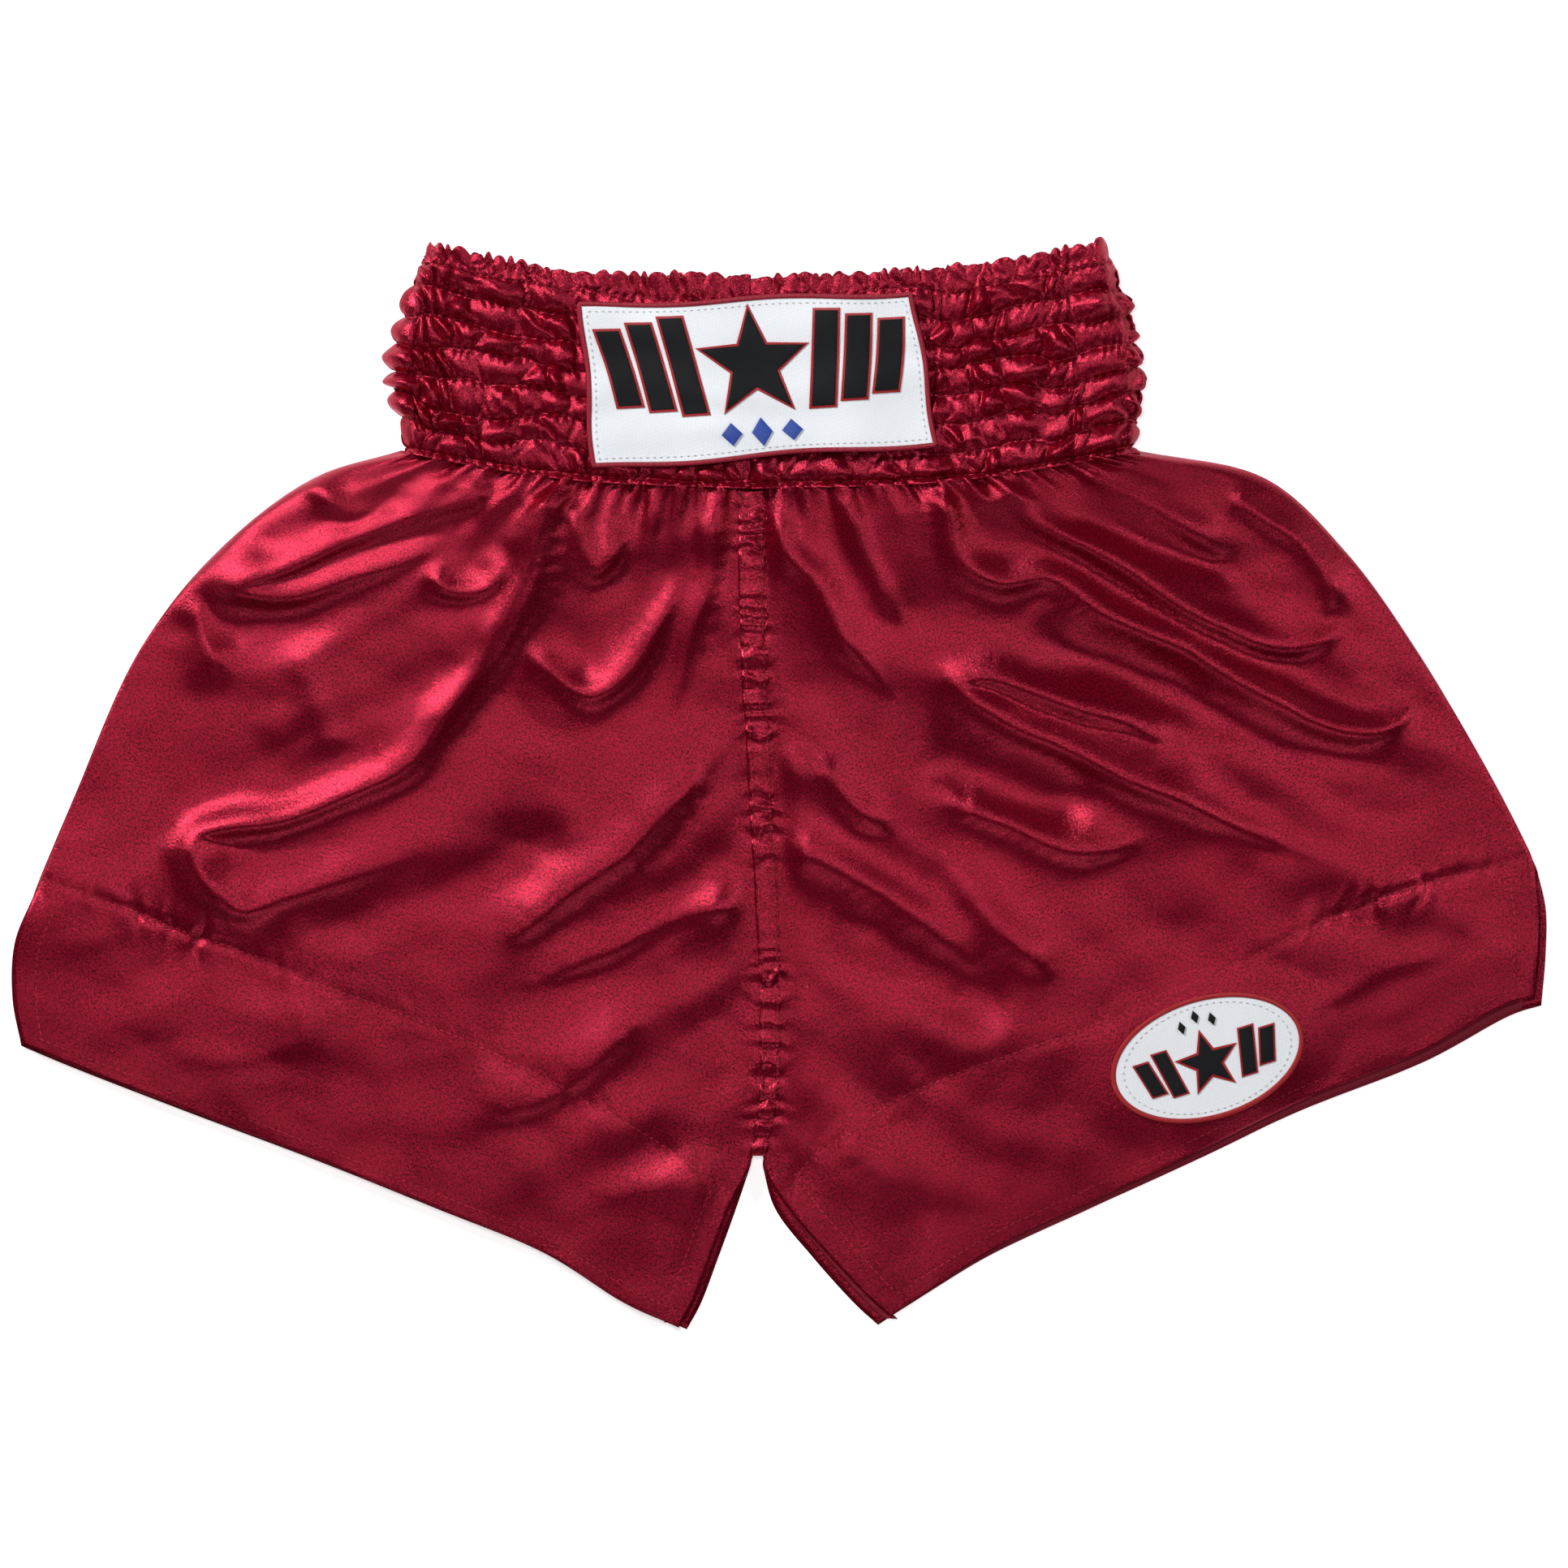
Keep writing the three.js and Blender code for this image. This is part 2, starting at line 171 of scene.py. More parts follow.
def noise(x, y, scale, seed):
    """Smooth random values from -1 to 1 with bumps about scale across."""
    table = np.random.default_rng(seed).uniform(-1, 1, (64, 64))
    gx, gy = np.asarray(x, float) / scale + 1000, np.asarray(y, float) / scale + 1000
    ix, iy = np.floor(gx).astype(int), np.floor(gy).astype(int)
    fx, fy = gx - ix, gy - iy
    fx, fy = fx * fx * (3 - 2 * fx), fy * fy * (3 - 2 * fy)
    low = mix(table[ix % 64, iy % 64], table[(ix + 1) % 64, iy % 64], fx)
    high = mix(table[ix % 64, (iy + 1) % 64], table[(ix + 1) % 64, (iy + 1) % 64], fx)
    return mix(low, high, fy)


def near(line, x, y):
    """Distance from each point to a line, and the share of its length where it is nearest."""
    step = line[1:] - line[:-1]
    lengths = np.linalg.norm(step, axis=1)
    before = np.concatenate([[0], np.cumsum(lengths)])[:-1]
    best = np.full(np.shape(x), 1e9)
    where = np.zeros(np.shape(x))
    for p, d, length, start in zip(line, step, lengths, before):
        t = np.clip(((x - p[0]) * d[0] + (y - p[1]) * d[1]) / length ** 2, 0, 1)
        distance = np.hypot(x - p[0] - t * d[0], y - p[1] - t * d[1])
        closer = distance < best
        best = np.where(closer, distance, best)
        where = np.where(closer, (start + t * length) / lengths.sum(), where)
    return best, where


def finer(grid):
    """Twice as many steps each way, on smooth curves through the same points."""
    for axis in (0, 1):
        g = np.moveaxis(grid, axis, 0)
        padded = np.concatenate([2 * g[:1] - g[1:2], g, 2 * g[-1:] - g[-2:-1]])
        between = (9 * (padded[1:-2] + padded[2:-1]) - (padded[:-3] + padded[3:])) / 16
        out = np.empty((2 * len(g) - 1,) + g.shape[1:])
        out[0::2], out[1::2] = g, between
        grid = np.moveaxis(out, 0, axis)
    return grid


def normals_of(grid):
    du, dv = np.gradient(grid, axis=1), np.gradient(grid, axis=0)
    n = np.cross(du, dv)
    n /= np.maximum(np.linalg.norm(n, axis=-1, keepdims=True), 1e-12)
    return n if n[..., 2].mean() > 0 else -n


# ---- Meshes ---------------------------------------------------------------------------


def new_mesh(name, points, faces, edges=()):
    mesh = bpy.data.meshes.new(name)
    mesh.from_pydata((np.asarray(points, float) * MM).tolist(), list(edges), faces)
    mesh.update()
    piece = bpy.data.objects.new(name, mesh)
    bpy.context.collection.objects.link(piece)
    return piece


def grid_faces(rows, columns, offset=0):
    index = np.arange(rows * columns).reshape(rows, columns) + offset
    return np.stack([index[:-1, :-1], index[:-1, 1:], index[1:, 1:], index[1:, :-1]], -1).reshape(-1, 4)


def orient(piece):
    """Turns a closed piece's faces outwards."""
    bm = bmesh.new()
    bm.from_mesh(piece.data)
    bmesh.ops.recalc_face_normals(bm, faces=bm.faces)
    bm.to_mesh(piece.data)
    bm.free()
    return piece


def cloth_piece(name, grid, material, cut, thickness=CLOTH):
    """A closed sheet of cloth from a grid of points, with cut, the flat cloth, as its UV map in metres."""
    rows, columns = grid.shape[:2]
    count = rows * columns
    half = normals_of(grid) * thickness / 2
    points = np.concatenate([(grid + half).reshape(-1, 3), (grid - half).reshape(-1, 3)])
    top = grid_faces(rows, columns)
    rim = np.concatenate([np.arange(columns), np.arange(2, rows + 1) * columns - 1,
                          count - 2 - np.arange(columns - 1), np.arange(rows - 2, 0, -1) * columns])
    after = np.roll(rim, -1)
    edge = np.stack([rim, rim + count, after + count, after], -1)
    faces = np.concatenate([top, top[:, ::-1] + count, edge])
    piece = new_mesh(name, points, faces.tolist())
    flat = np.concatenate([cut.reshape(-1, 2)] * 2) * MM
    layer = piece.data.uv_layers.new(name="cloth")
    loops = np.empty(len(piece.data.loops), int)
    piece.data.loops.foreach_get("vertex_index", loops)
    layer.data.foreach_set("uv", flat[loops].ravel())
    piece.data.materials.append(material)
    smooth(piece)
    return orient(piece)


def smooth(piece):
    piece.data.polygons.foreach_set("use_smooth", [True] * len(piece.data.polygons))


def join(name, pieces):
    """One piece from several, with all their materials."""
    bpy.ops.object.select_all(action="DESELECT")
    for piece in pieces:
        piece.select_set(True)
    bpy.context.view_layer.objects.active = pieces[0]
    bpy.ops.object.join()
    pieces[0].name = pieces[0].data.name = name
    return pieces[0]


def stretches(piece, side, slot, *nodes):
    """Hides the frame's parts that the piece stands for, and bakes the piece's placement into its mesh."""
    if nodes:
        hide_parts(*nodes)
    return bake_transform(piece)


# ---- Materials ------------------------------------------------------------------------


class Value:
    """A number in a shader: arithmetic on it adds the Math nodes."""

    def __init__(self, paint, socket):
        self.paint, self.socket = paint, socket

    def _math(self, operation, *values):
        return self.paint.add("ShaderNodeMath", {"operation": operation}, *values)

    def __add__(self, other):
        return self._math("ADD", self, other)

    def __sub__(self, other):
        return self._math("SUBTRACT", self, other)

    def __rsub__(self, other):
        return self._math("SUBTRACT", other, self)

    def __mul__(self, other):
        return self._math("MULTIPLY", self, other)

    def __truediv__(self, other):
        return self._math("DIVIDE", self, other)

    def __pow__(self, other):
        return self._math("POWER", self, other)

    __radd__ = __add__
    __rmul__ = __mul__

    def sine(self):
        return self._math("SINE", self)

    def clamped(self):
        return self.paint.add("ShaderNodeClamp", {}, self)

    def between(self, low, high):
        """0 where this is below low, 1 where it is above high, and smooth between them."""
        settings = {"interpolation_type": "SMOOTHSTEP"}
        return self.paint.add("ShaderNodeMapRange", settings, self, low, high, 0.0, 1.0)


class Paint:
    """A material under construction, with one Principled shader."""

    def __init__(self, name, **sockets):
        self.material = bpy.data.materials.new(name)
        self.material.use_nodes = True
        self.tree = self.material.node_tree
        self.shader = self.tree.nodes["Principled BSDF"]
        for socket, value in sockets.items():
            self.set(socket.replace("_", " "), value)

    def feed(self, socket, value):
        if isinstance(value, Value):
            self.tree.links.new(value.socket, socket)
        else:
            socket.default_value = value

    def set(self, socket, value):
        self.feed(self.shader.inputs[socket], value)

    def add(self, kind, settings, *values, output=0, **named):
        node = self.tree.nodes.new(kind)
        stops = settings.pop("stops", None)
        for key, value in settings.items():
            setattr(node, key, value)
        if stops:
            ramp_stops = node.color_ramp.elements
            while len(ramp_stops) < len(stops):
                ramp_stops.new(0.5)
            for stop, (position, color) in zip(ramp_stops, stops):
                stop.position, stop.color = position, (*color, 1)
        for socket, value in zip(node.inputs, values):
            self.feed(socket, value)
        for name, value in named.items():
            self.feed(node.inputs[name], value)
        return Value(self, node.outputs[output])

    def mixed(self, share, a, b):
        """A colour between a and b."""
        node = self.tree.nodes.new("ShaderNodeMix")
        node.data_type = "RGBA"
        for index, value in ((0, share), (6, a), (7, b)):
            self.feed(node.inputs[index], value)
        return Value(self, node.outputs[2])

    def place(self, output):
        return self.add("ShaderNodeTexCoord", {}, output=output)

    def scaled(self, vector, scale, turn=0.0):
        settings = {"vector_type": "POINT"}
        return self.add("ShaderNodeMapping", settings, vector, (0, 0, 0), (0, 0, turn), scale)

    def cloud(self, vector, scale, detail=3.0, roughness=0.55):
        settings = {"noise_dimensions": "3D"}
        return self.add("ShaderNodeTexNoise", settings, Vector=vector, Scale=scale, Detail=detail, Roughness=roughness)

    def bump(self, height, distance, strength=1.0):
        normal = self.add("ShaderNodeBump", {}, Strength=strength, Distance=distance, Height=height)
        self.set("Normal", normal)


def rgb(red, green, blue):
    return (red, green, blue, 1.0)


def satin(name, deep, bright, roughness, metallic, sparkle):
    """Satin: long floats across the cloth, so a soft tinted gloss that breaks into fine sparks."""
    paint = Paint(name, Metallic=metallic, IOR=1.85)
    paint.set("Specular Tint", rgb(1.0, 0.33, 0.46))
    cloth = paint.place("UV")
    floats = paint.cloud(paint.scaled(cloth, (800, 420, 1)), 1.0, 2.0)
    grain = paint.cloud(paint.scaled(cloth, (1050, 900, 1)), 1.0, 3.0, 0.7)
    patches = paint.cloud(paint.place("Object"), 14.0, 3.0)
    tone = (grain.between(0.32, 0.72) * 0.7 + floats * 0.35 + patches * 0.2 - 0.12).clamped()
    paint.set("Base Color", paint.mixed(tone, deep, bright))
    paint.set("Roughness", (patches * 0.08 - grain * 0.26 - floats * 0.08 + (roughness + 0.15)).clamped())
    threads = (paint.add("ShaderNodeSeparateXYZ", {}, cloth, output=0) * (math.tau / 0.0004)).sine()
    paint.bump(grain + floats * 0.4 + threads * 0.06, sparkle * MM, 0.85)
    return paint.material


def thread(name, dark, light, roughness=0.45, turn=0.7, gloss=0.3):
    """Embroidery: parallel shiny threads, packed side by side, with painted shade: each thread's colour is lighter
    along its crown and darker in the grooves between threads.
    """
    paint = Paint(name, IOR=1.48)
    paint.set("Specular IOR Level", gloss)
    place = paint.scaled(paint.place("Object"), (1, 1, 1), turn)
    across = paint.add("ShaderNodeSeparateXYZ", {}, place, output=0)
    ply_and_groove_shade = (across * (math.tau / 0.0005)).sine() * 0.5 + 0.5
    wear = paint.cloud(paint.place("Object"), 900.0, 2.0)
    # Painted shade: the ply wave makes the colour darker in the grooves between threads, where the bump is low.
    paint.set("Base Color", paint.mixed((ply_and_groove_shade * 0.6 + wear * 0.4).clamped(), dark, light))
    paint.set("Roughness", (wear * 0.2 + (roughness - 0.1)).clamped())
    paint.bump(ply_and_groove_shade + wear * 0.4, 0.00012, 0.7)
    return paint.material


def twill(name, dark, light):
    """Badge cloth: white fill stitches in short offset rows, with painted shade darkening the grooves between them."""
    paint = Paint(name, Roughness=0.62, IOR=1.45)
    paint.set("Sheen Weight", 0.35)
    groove_mask_and_shade = paint.add("ShaderNodeTexBrick", {"offset": 0.5}, Vector=paint.scaled(paint.place("Object"), (1, 1, 1), 0.1),
                       Scale=1.0, output=1)
    brick = groove_mask_and_shade.socket.node
    brick.inputs["Mortar Size"].default_value = 0.00007
    brick.inputs["Mortar Smooth"].default_value = 0.8
    brick.inputs["Brick Width"].default_value = 0.0032
    brick.inputs["Row Height"].default_value = 0.00045
    fuzz = paint.cloud(paint.place("Object"), 1100.0, 2.0)
    # Painted shade: the colour darkens along the mortar lines of the brick pattern, the grooves between stitches where
    # the bump is low.
    paint.set("Base Color", paint.mixed((groove_mask_and_shade * 0.75 + fuzz * 0.25).clamped(), light, dark))
    paint.bump((1 - groove_mask_and_shade) + fuzz * 0.4, 0.0001, 0.6)
    return paint.material


def webbing(name):
    """Woven elastic: white with rubber ridges along it, and painted shade darkening the grooves between the ridges."""
    paint = Paint(name, Roughness=0.8)
    place = paint.place("Object")
    along = paint.add("ShaderNodeSeparateXYZ", {}, place, output=1)
    ribs_and_groove_shade = (along * (math.tau / 0.0011)).sine() * 0.5 + 0.5
    fuzz = paint.cloud(place, 800.0, 2.0)
    # Painted shade: the colour darkens in the grooves between the ridges, where the bump is low.
    paint.set("Base Color", paint.mixed((ribs_and_groove_shade * 0.5 + fuzz * 0.5).clamped(), rgb(0.55, 0.54, 0.5), rgb(0.85, 0.84, 0.8)))
    paint.bump(ribs_and_groove_shade + fuzz * 0.5, 0.00015, 0.8)
    return paint.material


SATIN = satin("crimson satin", rgb(0.05, 0.0002, 0.0008), rgb(0.46, 0.0050, 0.034), 0.21, 0.66, 0.27)
REVERSE = satin("satin reverse", rgb(0.10, 0.001, 0.004), rgb(0.28, 0.004, 0.016), 0.6, 0.2, 0.2)
STITCH = thread("crimson thread", rgb(0.10, 0.001, 0.004), rgb(0.30, 0.006, 0.022), 0.45)
RED = thread("red thread", rgb(0.20, 0.004, 0.008), rgb(0.50, 0.022, 0.028), 0.45, 0.2)
CRIMSON = thread("crimson border thread", rgb(0.16, 0.003, 0.012), rgb(0.42, 0.018, 0.045), 0.45, 0.2)
BLACK = thread("black thread", rgb(0.0015, 0.0015, 0.002), rgb(0.008, 0.009, 0.011), 0.55, 0.7, 0.12)
BLUE = thread("blue thread", rgb(0.006, 0.02, 0.18), rgb(0.02, 0.08, 0.45), 0.45)
WHITE = thread("white thread", rgb(0.42, 0.44, 0.48), rgb(0.70, 0.72, 0.76), 0.5)
TWILL = twill("white badge cloth", rgb(0.56, 0.59, 0.64), rgb(0.90, 0.92, 0.95))
ELASTIC = webbing("white elastic")

# ---- Camera, light and floor ----------------------------------------------------------


def stand_camera():
    lens, sensor, view = 200.0, 36.0, 0.6955
    data = bpy.data.cameras.new("camera")
    data.lens, data.sensor_width = lens, sensor
    data.clip_end = 50
    camera = bpy.data.objects.new("camera", data)
    camera.location = (0.0022, 0.0005, view * lens / sensor + 0.012)
    bpy.context.collection.objects.link(camera)
    bpy.context.scene.camera = camera


def lamp(name, place, aim, size, power, color=(1, 1, 1)):
    data = bpy.data.lights.new(name, "AREA")
    data.shape, data.size, data.size_y, data.energy, data.color = "RECTANGLE", *size, power, color
    light = bpy.data.objects.new(name, data)
    light.location = place
    direction = np.array(aim, float) - np.array(place, float)
    from mathutils import Vector
    light.rotation_euler = Vector(direction).to_track_quat("-Z", "Y").to_euler()
    bpy.context.collection.objects.link(light)


def light_studio():
    lamp("window", (-1.6, 1.6, 1.35), (0, 0, 0), (0.6, 0.5), 72)
    lamp("fill", (2.2, 0.6, 1.35), (0, 0, 0), (0.7, 0.7), 20)
    lamp("front", (0.1, -1.4, 0.8), (0, 0, 0), (0.6, 0.3), 4)
    lamp("above", (-0.1, 0.25, 1.9), (0, 0, 0), (0.25, 0.25), 9)
    world = bpy.data.worlds.new("studio")
    bpy.context.scene.world = world
    world.use_nodes = True
    world.node_tree.nodes["Background"].inputs[0].default_value = rgb(1.0, 1.0, 1.0)
    world.node_tree.nodes["Background"].inputs[1].default_value = 0.03
    bpy.context.scene.view_settings.view_transform = "Standard"


def lay_floor():
    floor = new_mesh("floor", [(-6000, -6000, 0), (6000, -6000, 0), (6000, 6000, 0), (-6000, 6000, 0)], [(0, 1, 2, 3)])
    paint = Paint("pale floor", Roughness=0.9, Emission_Strength=0.62)
    paint.set("Emission Color", rgb(1.0, 1.0, 1.0))
    paint.set("Base Color", rgb(0.9, 0.9, 0.9))
    floor.data.materials.append(paint.material)


stand_camera()
light_studio()
lay_floor()

# ---- Leg panels -----------------------------------------------------------------------

# Main folds of each front panel: height, half width, and the points that the crest runs through.
FOLDS = {
    "right": [
        (7, 11, [(-133, 125), (-169, 116), (-205, 102), (-240, 88), (-219, 84), (-190, 91), (-154, 106), (-134, 117)]),
        (5, 9, [(-204, 130), (-191, 120), (-169, 128)]),
        (6, 8, [(-154, 101), (-150, 88), (-132, 88), (-125, 97), (-132, 106)]),
        (4, 9, [(-262, 84), (-256, 64), (-244, 44)]),
        (9, 13, [(-98, 126), (-115, 78), (-132, 50), (-150, 25), (-169, 6), (-196, -8), (-224, -17), (-257, -23),
                 (-253, -44), (-240, -56), (-212, -48), (-169, -34), (-140, -15)]),
        (7, 9, [(-103, 122), (-122, 76), (-147, 29), (-161, 2)]),
        (7, 10, [(-116, 68), (-103, 53), (-84, 41), (-63, 53), (-48, 80), (-41, 108)]),
        (5, 8, [(-91, 120), (-80, 95), (-63, 120)]),
        (7, 16, [(-19, 19), (-63, -22), (-107, -59), (-136, -74)]),
        (5, 14, [(-11, -52), (-41, -54), (-77, -74), (-130, -100)]),
        (3, 12, [(-213, 64), (-202, 29), (-196, 3)]),
        (4, 14, [(-60, -100), (-90, -130), (-150, -160)]),
        (3, 16, [(-200, -110), (-250, -120), (-300, -100)]),
        (4, 9, [(-30, 124), (-34, 80), (-52, 20)]),
    ],
    "left": [
        (7, 10, [(-4, 112), (18, 88), (33, 64), (59, 32)]),
        (5, 12, [(-3, -22), (26, -37), (65, -59), (100, -95)]),
        (5, 10, [(18, 15), (33, -8), (55, -27)]),
        (9, 11, [(100, 128), (119, 114), (156, 94), (192, 70), (228, 62), (262, 74)]),
        (9, 12, [(70, 126), (83, 98), (101, 90), (119, 92), (147, 74), (183, 56), (210, 41), (239, 27), (268, 24),
                 (286, 38), (283, 60)]),
        (8, 11, [(183, 7), (165, 21), (129, 36), (95, 50), (82, 46), (101, 30), (138, 12), (165, 1), (192, -14),
                 (228, -27), (258, -42)]),
        (5, 9, [(206, 124), (232, 108), (247, 88), (234, 68)]),
        (6, 12, [(65, -2), (101, -17), (138, -28), (172, -20)]),
        (5, 13, [(76, -39), (101, -62), (129, -93)]),
        (5, 9, [(30, 124), (40, 96), (62, 62)]),
        (5, 9, [(140, 136), (175, 116), (205, 98)]),
        (3, 16, [(20, -150), (60, -180), (110, -185)]),
        (3, 14, [(230, -100), (270, -80), (310, -70)]),
    ],
}
HOLLOWS = {
    "right": [(6, 13, [(-216, -70), (-166, -54), (-115, -32), (-90, -5)]),
              (4, 10, [(-243, 101), (-200, 118), (-150, 130)])],
    "left": [(6, 11, [(110, 70), (158, 50), (230, 12), (301, -22)]), (4, 12, [(60, 18), (100, -2), (150, -8)]),
             (4, 9, [(120, 126), (170, 105), (215, 92)]), (5, 14, [(20, -60), (70, -90), (110, -105)])],
}


def seam_half_width(y):
    heights = [point[1] for point in CENTRE_SEAM]
    return np.interp(y, heights[::-1], SEAM_HALF_WIDTH[::-1])


class Leg:
    """One half of the shorts: its edges, and points on its front and back layers."""

    def __init__(self, side, face):
        outline, away = OUTLINE[side], AWAY[side]
        self.side, self.face = side, face
        centre = [(x + away * seam_half_width(y) * 0.9, y) for x, y in CENTRE_SEAM]
        bottom = [(x, y + 1.5) for x, y in WAIST[side]["bottom"]]
        bottom[0] = centre[0] = (centre[0][0], bottom[0][1])
        centre[-1] = outline["inseam"][0]
        edge = [bottom[-1]] + outline["side"][1:]
        self.waist, self.hem = Line(bottom), Line(outline["hem"])
        self.inner = Chain(Line(centre), Line(outline["inseam"]))
        self.outer = Chain(Line(edge), Line(outline["vent"]))
        self.crotch = self.inner.lines[0].length / self.inner.length
        self.vent = self.outer.lines[0].length / self.outer.length

    def plan(self, columns, rows):
        """Grid of x and y, and of u and v, with the front layer drawn in from the back layer's edges."""
        u, v = np.linspace(0, 1, columns + 1), np.linspace(0, 1, rows + 1)
        place = coons(self.waist, self.hem, self.inner, self.outer, u, v)
        u, v = np.meshgrid(u, v)
        if self.face == "front":
            inset = FRONT_INSET[self.side]
            width = self.hem.length
            drawn = inset["inseam"] * ramp(v, self.crotch, self.crotch + 0.06) * (1 - u) ** 2
            drawn -= inset["vent"] * ramp(v, self.vent - 0.03, self.vent + 0.05) * u ** 2
            place[..., 0] += AWAY[self.side] * drawn
            place[..., 1] += inset["hem"] * ramp(v, 0.7, 1.0)
            self.width = width
        return place, u, v

    def cut(self, u, v):
        """The same points on the flat cloth before the waist was gathered."""
        wide = mix(self.waist.length * 1.25, self.hem.length * 1.02, v ** 0.6)
        long = mix(self.inner.length, self.outer.length, u) * 1.015
        return np.stack([AWAY[self.side] * u * wide, -v * long], -1)


def edge_drop(leg, x, y, u, v):
    """How far each point is inside the side seam, as a quarter round: 0 at the seam and 1 inside it."""
    distance = near(leg.outer.lines[0].points[::6], x, y)[0]
    t = np.clip(distance / 20.0, 0, 1)
    rounded = np.sqrt(1 - (1 - t) ** 2)
    return mix(rounded, 1.0, ramp(v, leg.vent - 0.02, leg.vent + 0.1))


CREST = ((0.42, 0.6), (0.38, 1.15), (0.34, 2.4))  # shares of a fold's height, each with its width


def fold(points, width, x, y):
    """Height of one fold, from 0 to about 1: a slim crest on a broad foot, steeper towards the hem."""
    line = Line(points).points[::6]
    places = np.linspace(0, 1, len(line))
    start = 1.0 if points[0][1] > 108 else 0.0  # a fold that comes out of the waist seam starts at full height
    total = np.zeros_like(x)
    for p, q, before, after in zip(line[:-1], line[1:], places[:-1], places[1:]):
        d = q - p
        t = np.clip(((x - p[0]) * d[0] + (y - p[1]) * d[1]) / (d @ d), 0, 1)
        off_x, off_y = x - p[0] - t * d[0], y - p[1] - t * d[1]
        distance = np.hypot(off_x, off_y)
        slim = width * (0.85 - 0.36 * (0.45 * off_x - 0.89 * off_y) / np.maximum(distance, 1.0))
        along = mix(before, after, t)
        taper = np.maximum(start, ramp(along, 0, 0.22)) * (1 - ramp(along, 0.65, 1.0))
        slim = slim * (0.55 + 0.45 * taper)
        crest = sum(share * np.exp(-(distance / (slim * wide)) ** 2) for share, wide in CREST)
        total = np.maximum(total, taper * crest)
    return total


def fold_heights(side, x, y):
    total = np.zeros_like(x)
    sway_x, sway_y = 2.5 * noise(x, y, 32, 41), 2.5 * noise(x, y, 32, 42)
    for height, width, points in FOLDS[side]:
        total += (height * fold(points, width, x + sway_x, y + sway_y)) ** 2.5
    total = total ** (1 / 2.5)
    for depth, width, points in HOLLOWS[side]:
        distance, along = near(Line(points).points[::5], x, y)
        total -= depth * ramp(along, 0, 0.2) * (1 - ramp(along, 0.8, 1)) * np.exp(-(distance / width) ** 2)
    return total


FRONT_LOWEST = 4.0
FLOW = {"right": 0.42, "left": -0.58}  # direction of the shallow waves between the main folds


def above_back(z):
    """Heights that stay clear of the back layer, however deep a hollow is."""
    over = z - FRONT_LOWEST
    return FRONT_LOWEST + (over + np.sqrt(over ** 2 + 3.0)) / 2


def front_start(leg, columns, rows):
    place, u, v = leg.plan(columns, rows)
    x, y = place[..., 0], place[..., 1]
    inside = edge_drop(leg, x, y, u, v)
    level = mix(WAIST_LEVEL - 1.5, 8.0, ramp(v, 0.0, 0.5)) - 1.0 * v
    calm = ramp(u, 0, 0.06) * inside * (1 - 0.6 * ramp(v, 0.8, 1.0)) * mix(0.35, 1, ramp(v, 0, 0.06))
    z = mix(SEAM_LEVEL, level, inside) + fold_heights(leg.side, x, y) * calm
    z += (noise(x, y, 26, 3) * 1.0 + noise(x, y, 62, 4) * 2.2) * calm
    turn = FLOW[leg.side]
    along = x * math.cos(turn) + y * math.sin(turn)
    across = y * math.cos(turn) - x * math.sin(turn) + 14 * noise(x, y, 70, 13)
    z += 3.0 * noise(along * 0.35, across, 21, 12) * calm * ramp(v, 0.02, 0.12)
    z += noise(x, y * 0.35, 19, 5) * 1.5 * ramp(v, 0.74, 0.84) * ramp(u, 0, 0.06) * inside
    return np.dstack([x, y, above_back(z)]), u, v


def settle(name, start, cut, hold, level, frames):
    """Cloth simulation: the start grid finds room for the lengths of the cut cloth, lying on a level surface."""
    rows, columns = start.shape[:2]
    piece = new_mesh(name, start.reshape(-1, 3), grid_faces(rows, columns).tolist())
    piece.shape_key_add(name="laid out")
    flat = piece.shape_key_add(name="cut")
    flat.data.foreach_set("co", np.dstack([cut, np.zeros(cut.shape[:2])]).ravel() * MM)
    group = piece.vertex_groups.new(name="held")
    for index, weight in enumerate(hold.ravel()):
        if weight > 0:
            group.add([index], float(weight), "REPLACE")
    cloth = piece.modifiers.new("cloth", "CLOTH")
    settings = cloth.settings
    settings.quality = 6
    settings.mass = 0.0001
    settings.tension_stiffness = settings.compression_stiffness = 5
    settings.shear_stiffness = 0.6
    settings.bending_stiffness = 0.5
    settings.tension_damping = settings.compression_damping = settings.shear_damping = 5
    settings.air_damping = 4
    settings.vertex_group_mass = "held"
    settings.pin_stiffness = 1
    settings.rest_shape_key = flat
    cloth.collision_settings.distance_min = 0.001
    cloth.point_cache.frame_start, cloth.point_cache.frame_end = 1, frames
    bed = new_mesh("bed", [(-500, -500, level), (500, -500, level), (500, 500, level), (-500, 500, level)], [(0, 1, 2, 3)])
    bed.modifiers.new("collision", "COLLISION")
    bed.collision.thickness_outer = 0.001
    for number in range(1, frames + 1):
        bpy.context.scene.frame_set(number)
    settled = piece.evaluated_get(bpy.context.evaluated_depsgraph_get()).data
    points = np.empty(rows * columns * 3)
    settled.vertices.foreach_get("co", points)
    for used in (piece, bed):
        bpy.data.objects.remove(used)
    bpy.context.scene.frame_set(1)
    return points.reshape(rows, columns, 3) / MM


SIMULATED_STEPS = (48, 56)  # across and down a panel: a cell is about as long as the cloth's shortest fold
MOST_MOVE = 5.0  # across the surface that the shorts lie on, in the simulation
HIGHEST = 26.0


def hold_panel(leg, u, v):
    """How firmly each point is held: fully at the seams, and less at the open edges."""
    hold = np.zeros_like(u)
    hold[0, :] = 1
    hold[:, 0] = 1
    hold[:, -1] = np.where(v[:, -1] < leg.vent, 1, 0.6)
    hold[-1, :] = 0.6
    return hold


def softened(grid, passes):
    """The grid with its sharpest kinks taken out; its edges stay."""
    for _ in range(passes):
        middle = grid[1:-1, 1:-1]
        around = grid[:-2, 1:-1] + grid[2:, 1:-1] + grid[1:-1, :-2] + grid[1:-1, 2:]
        grid = grid.copy()
        grid[1:-1, 1:-1] = middle * 0.5 + around * 0.125
    return grid


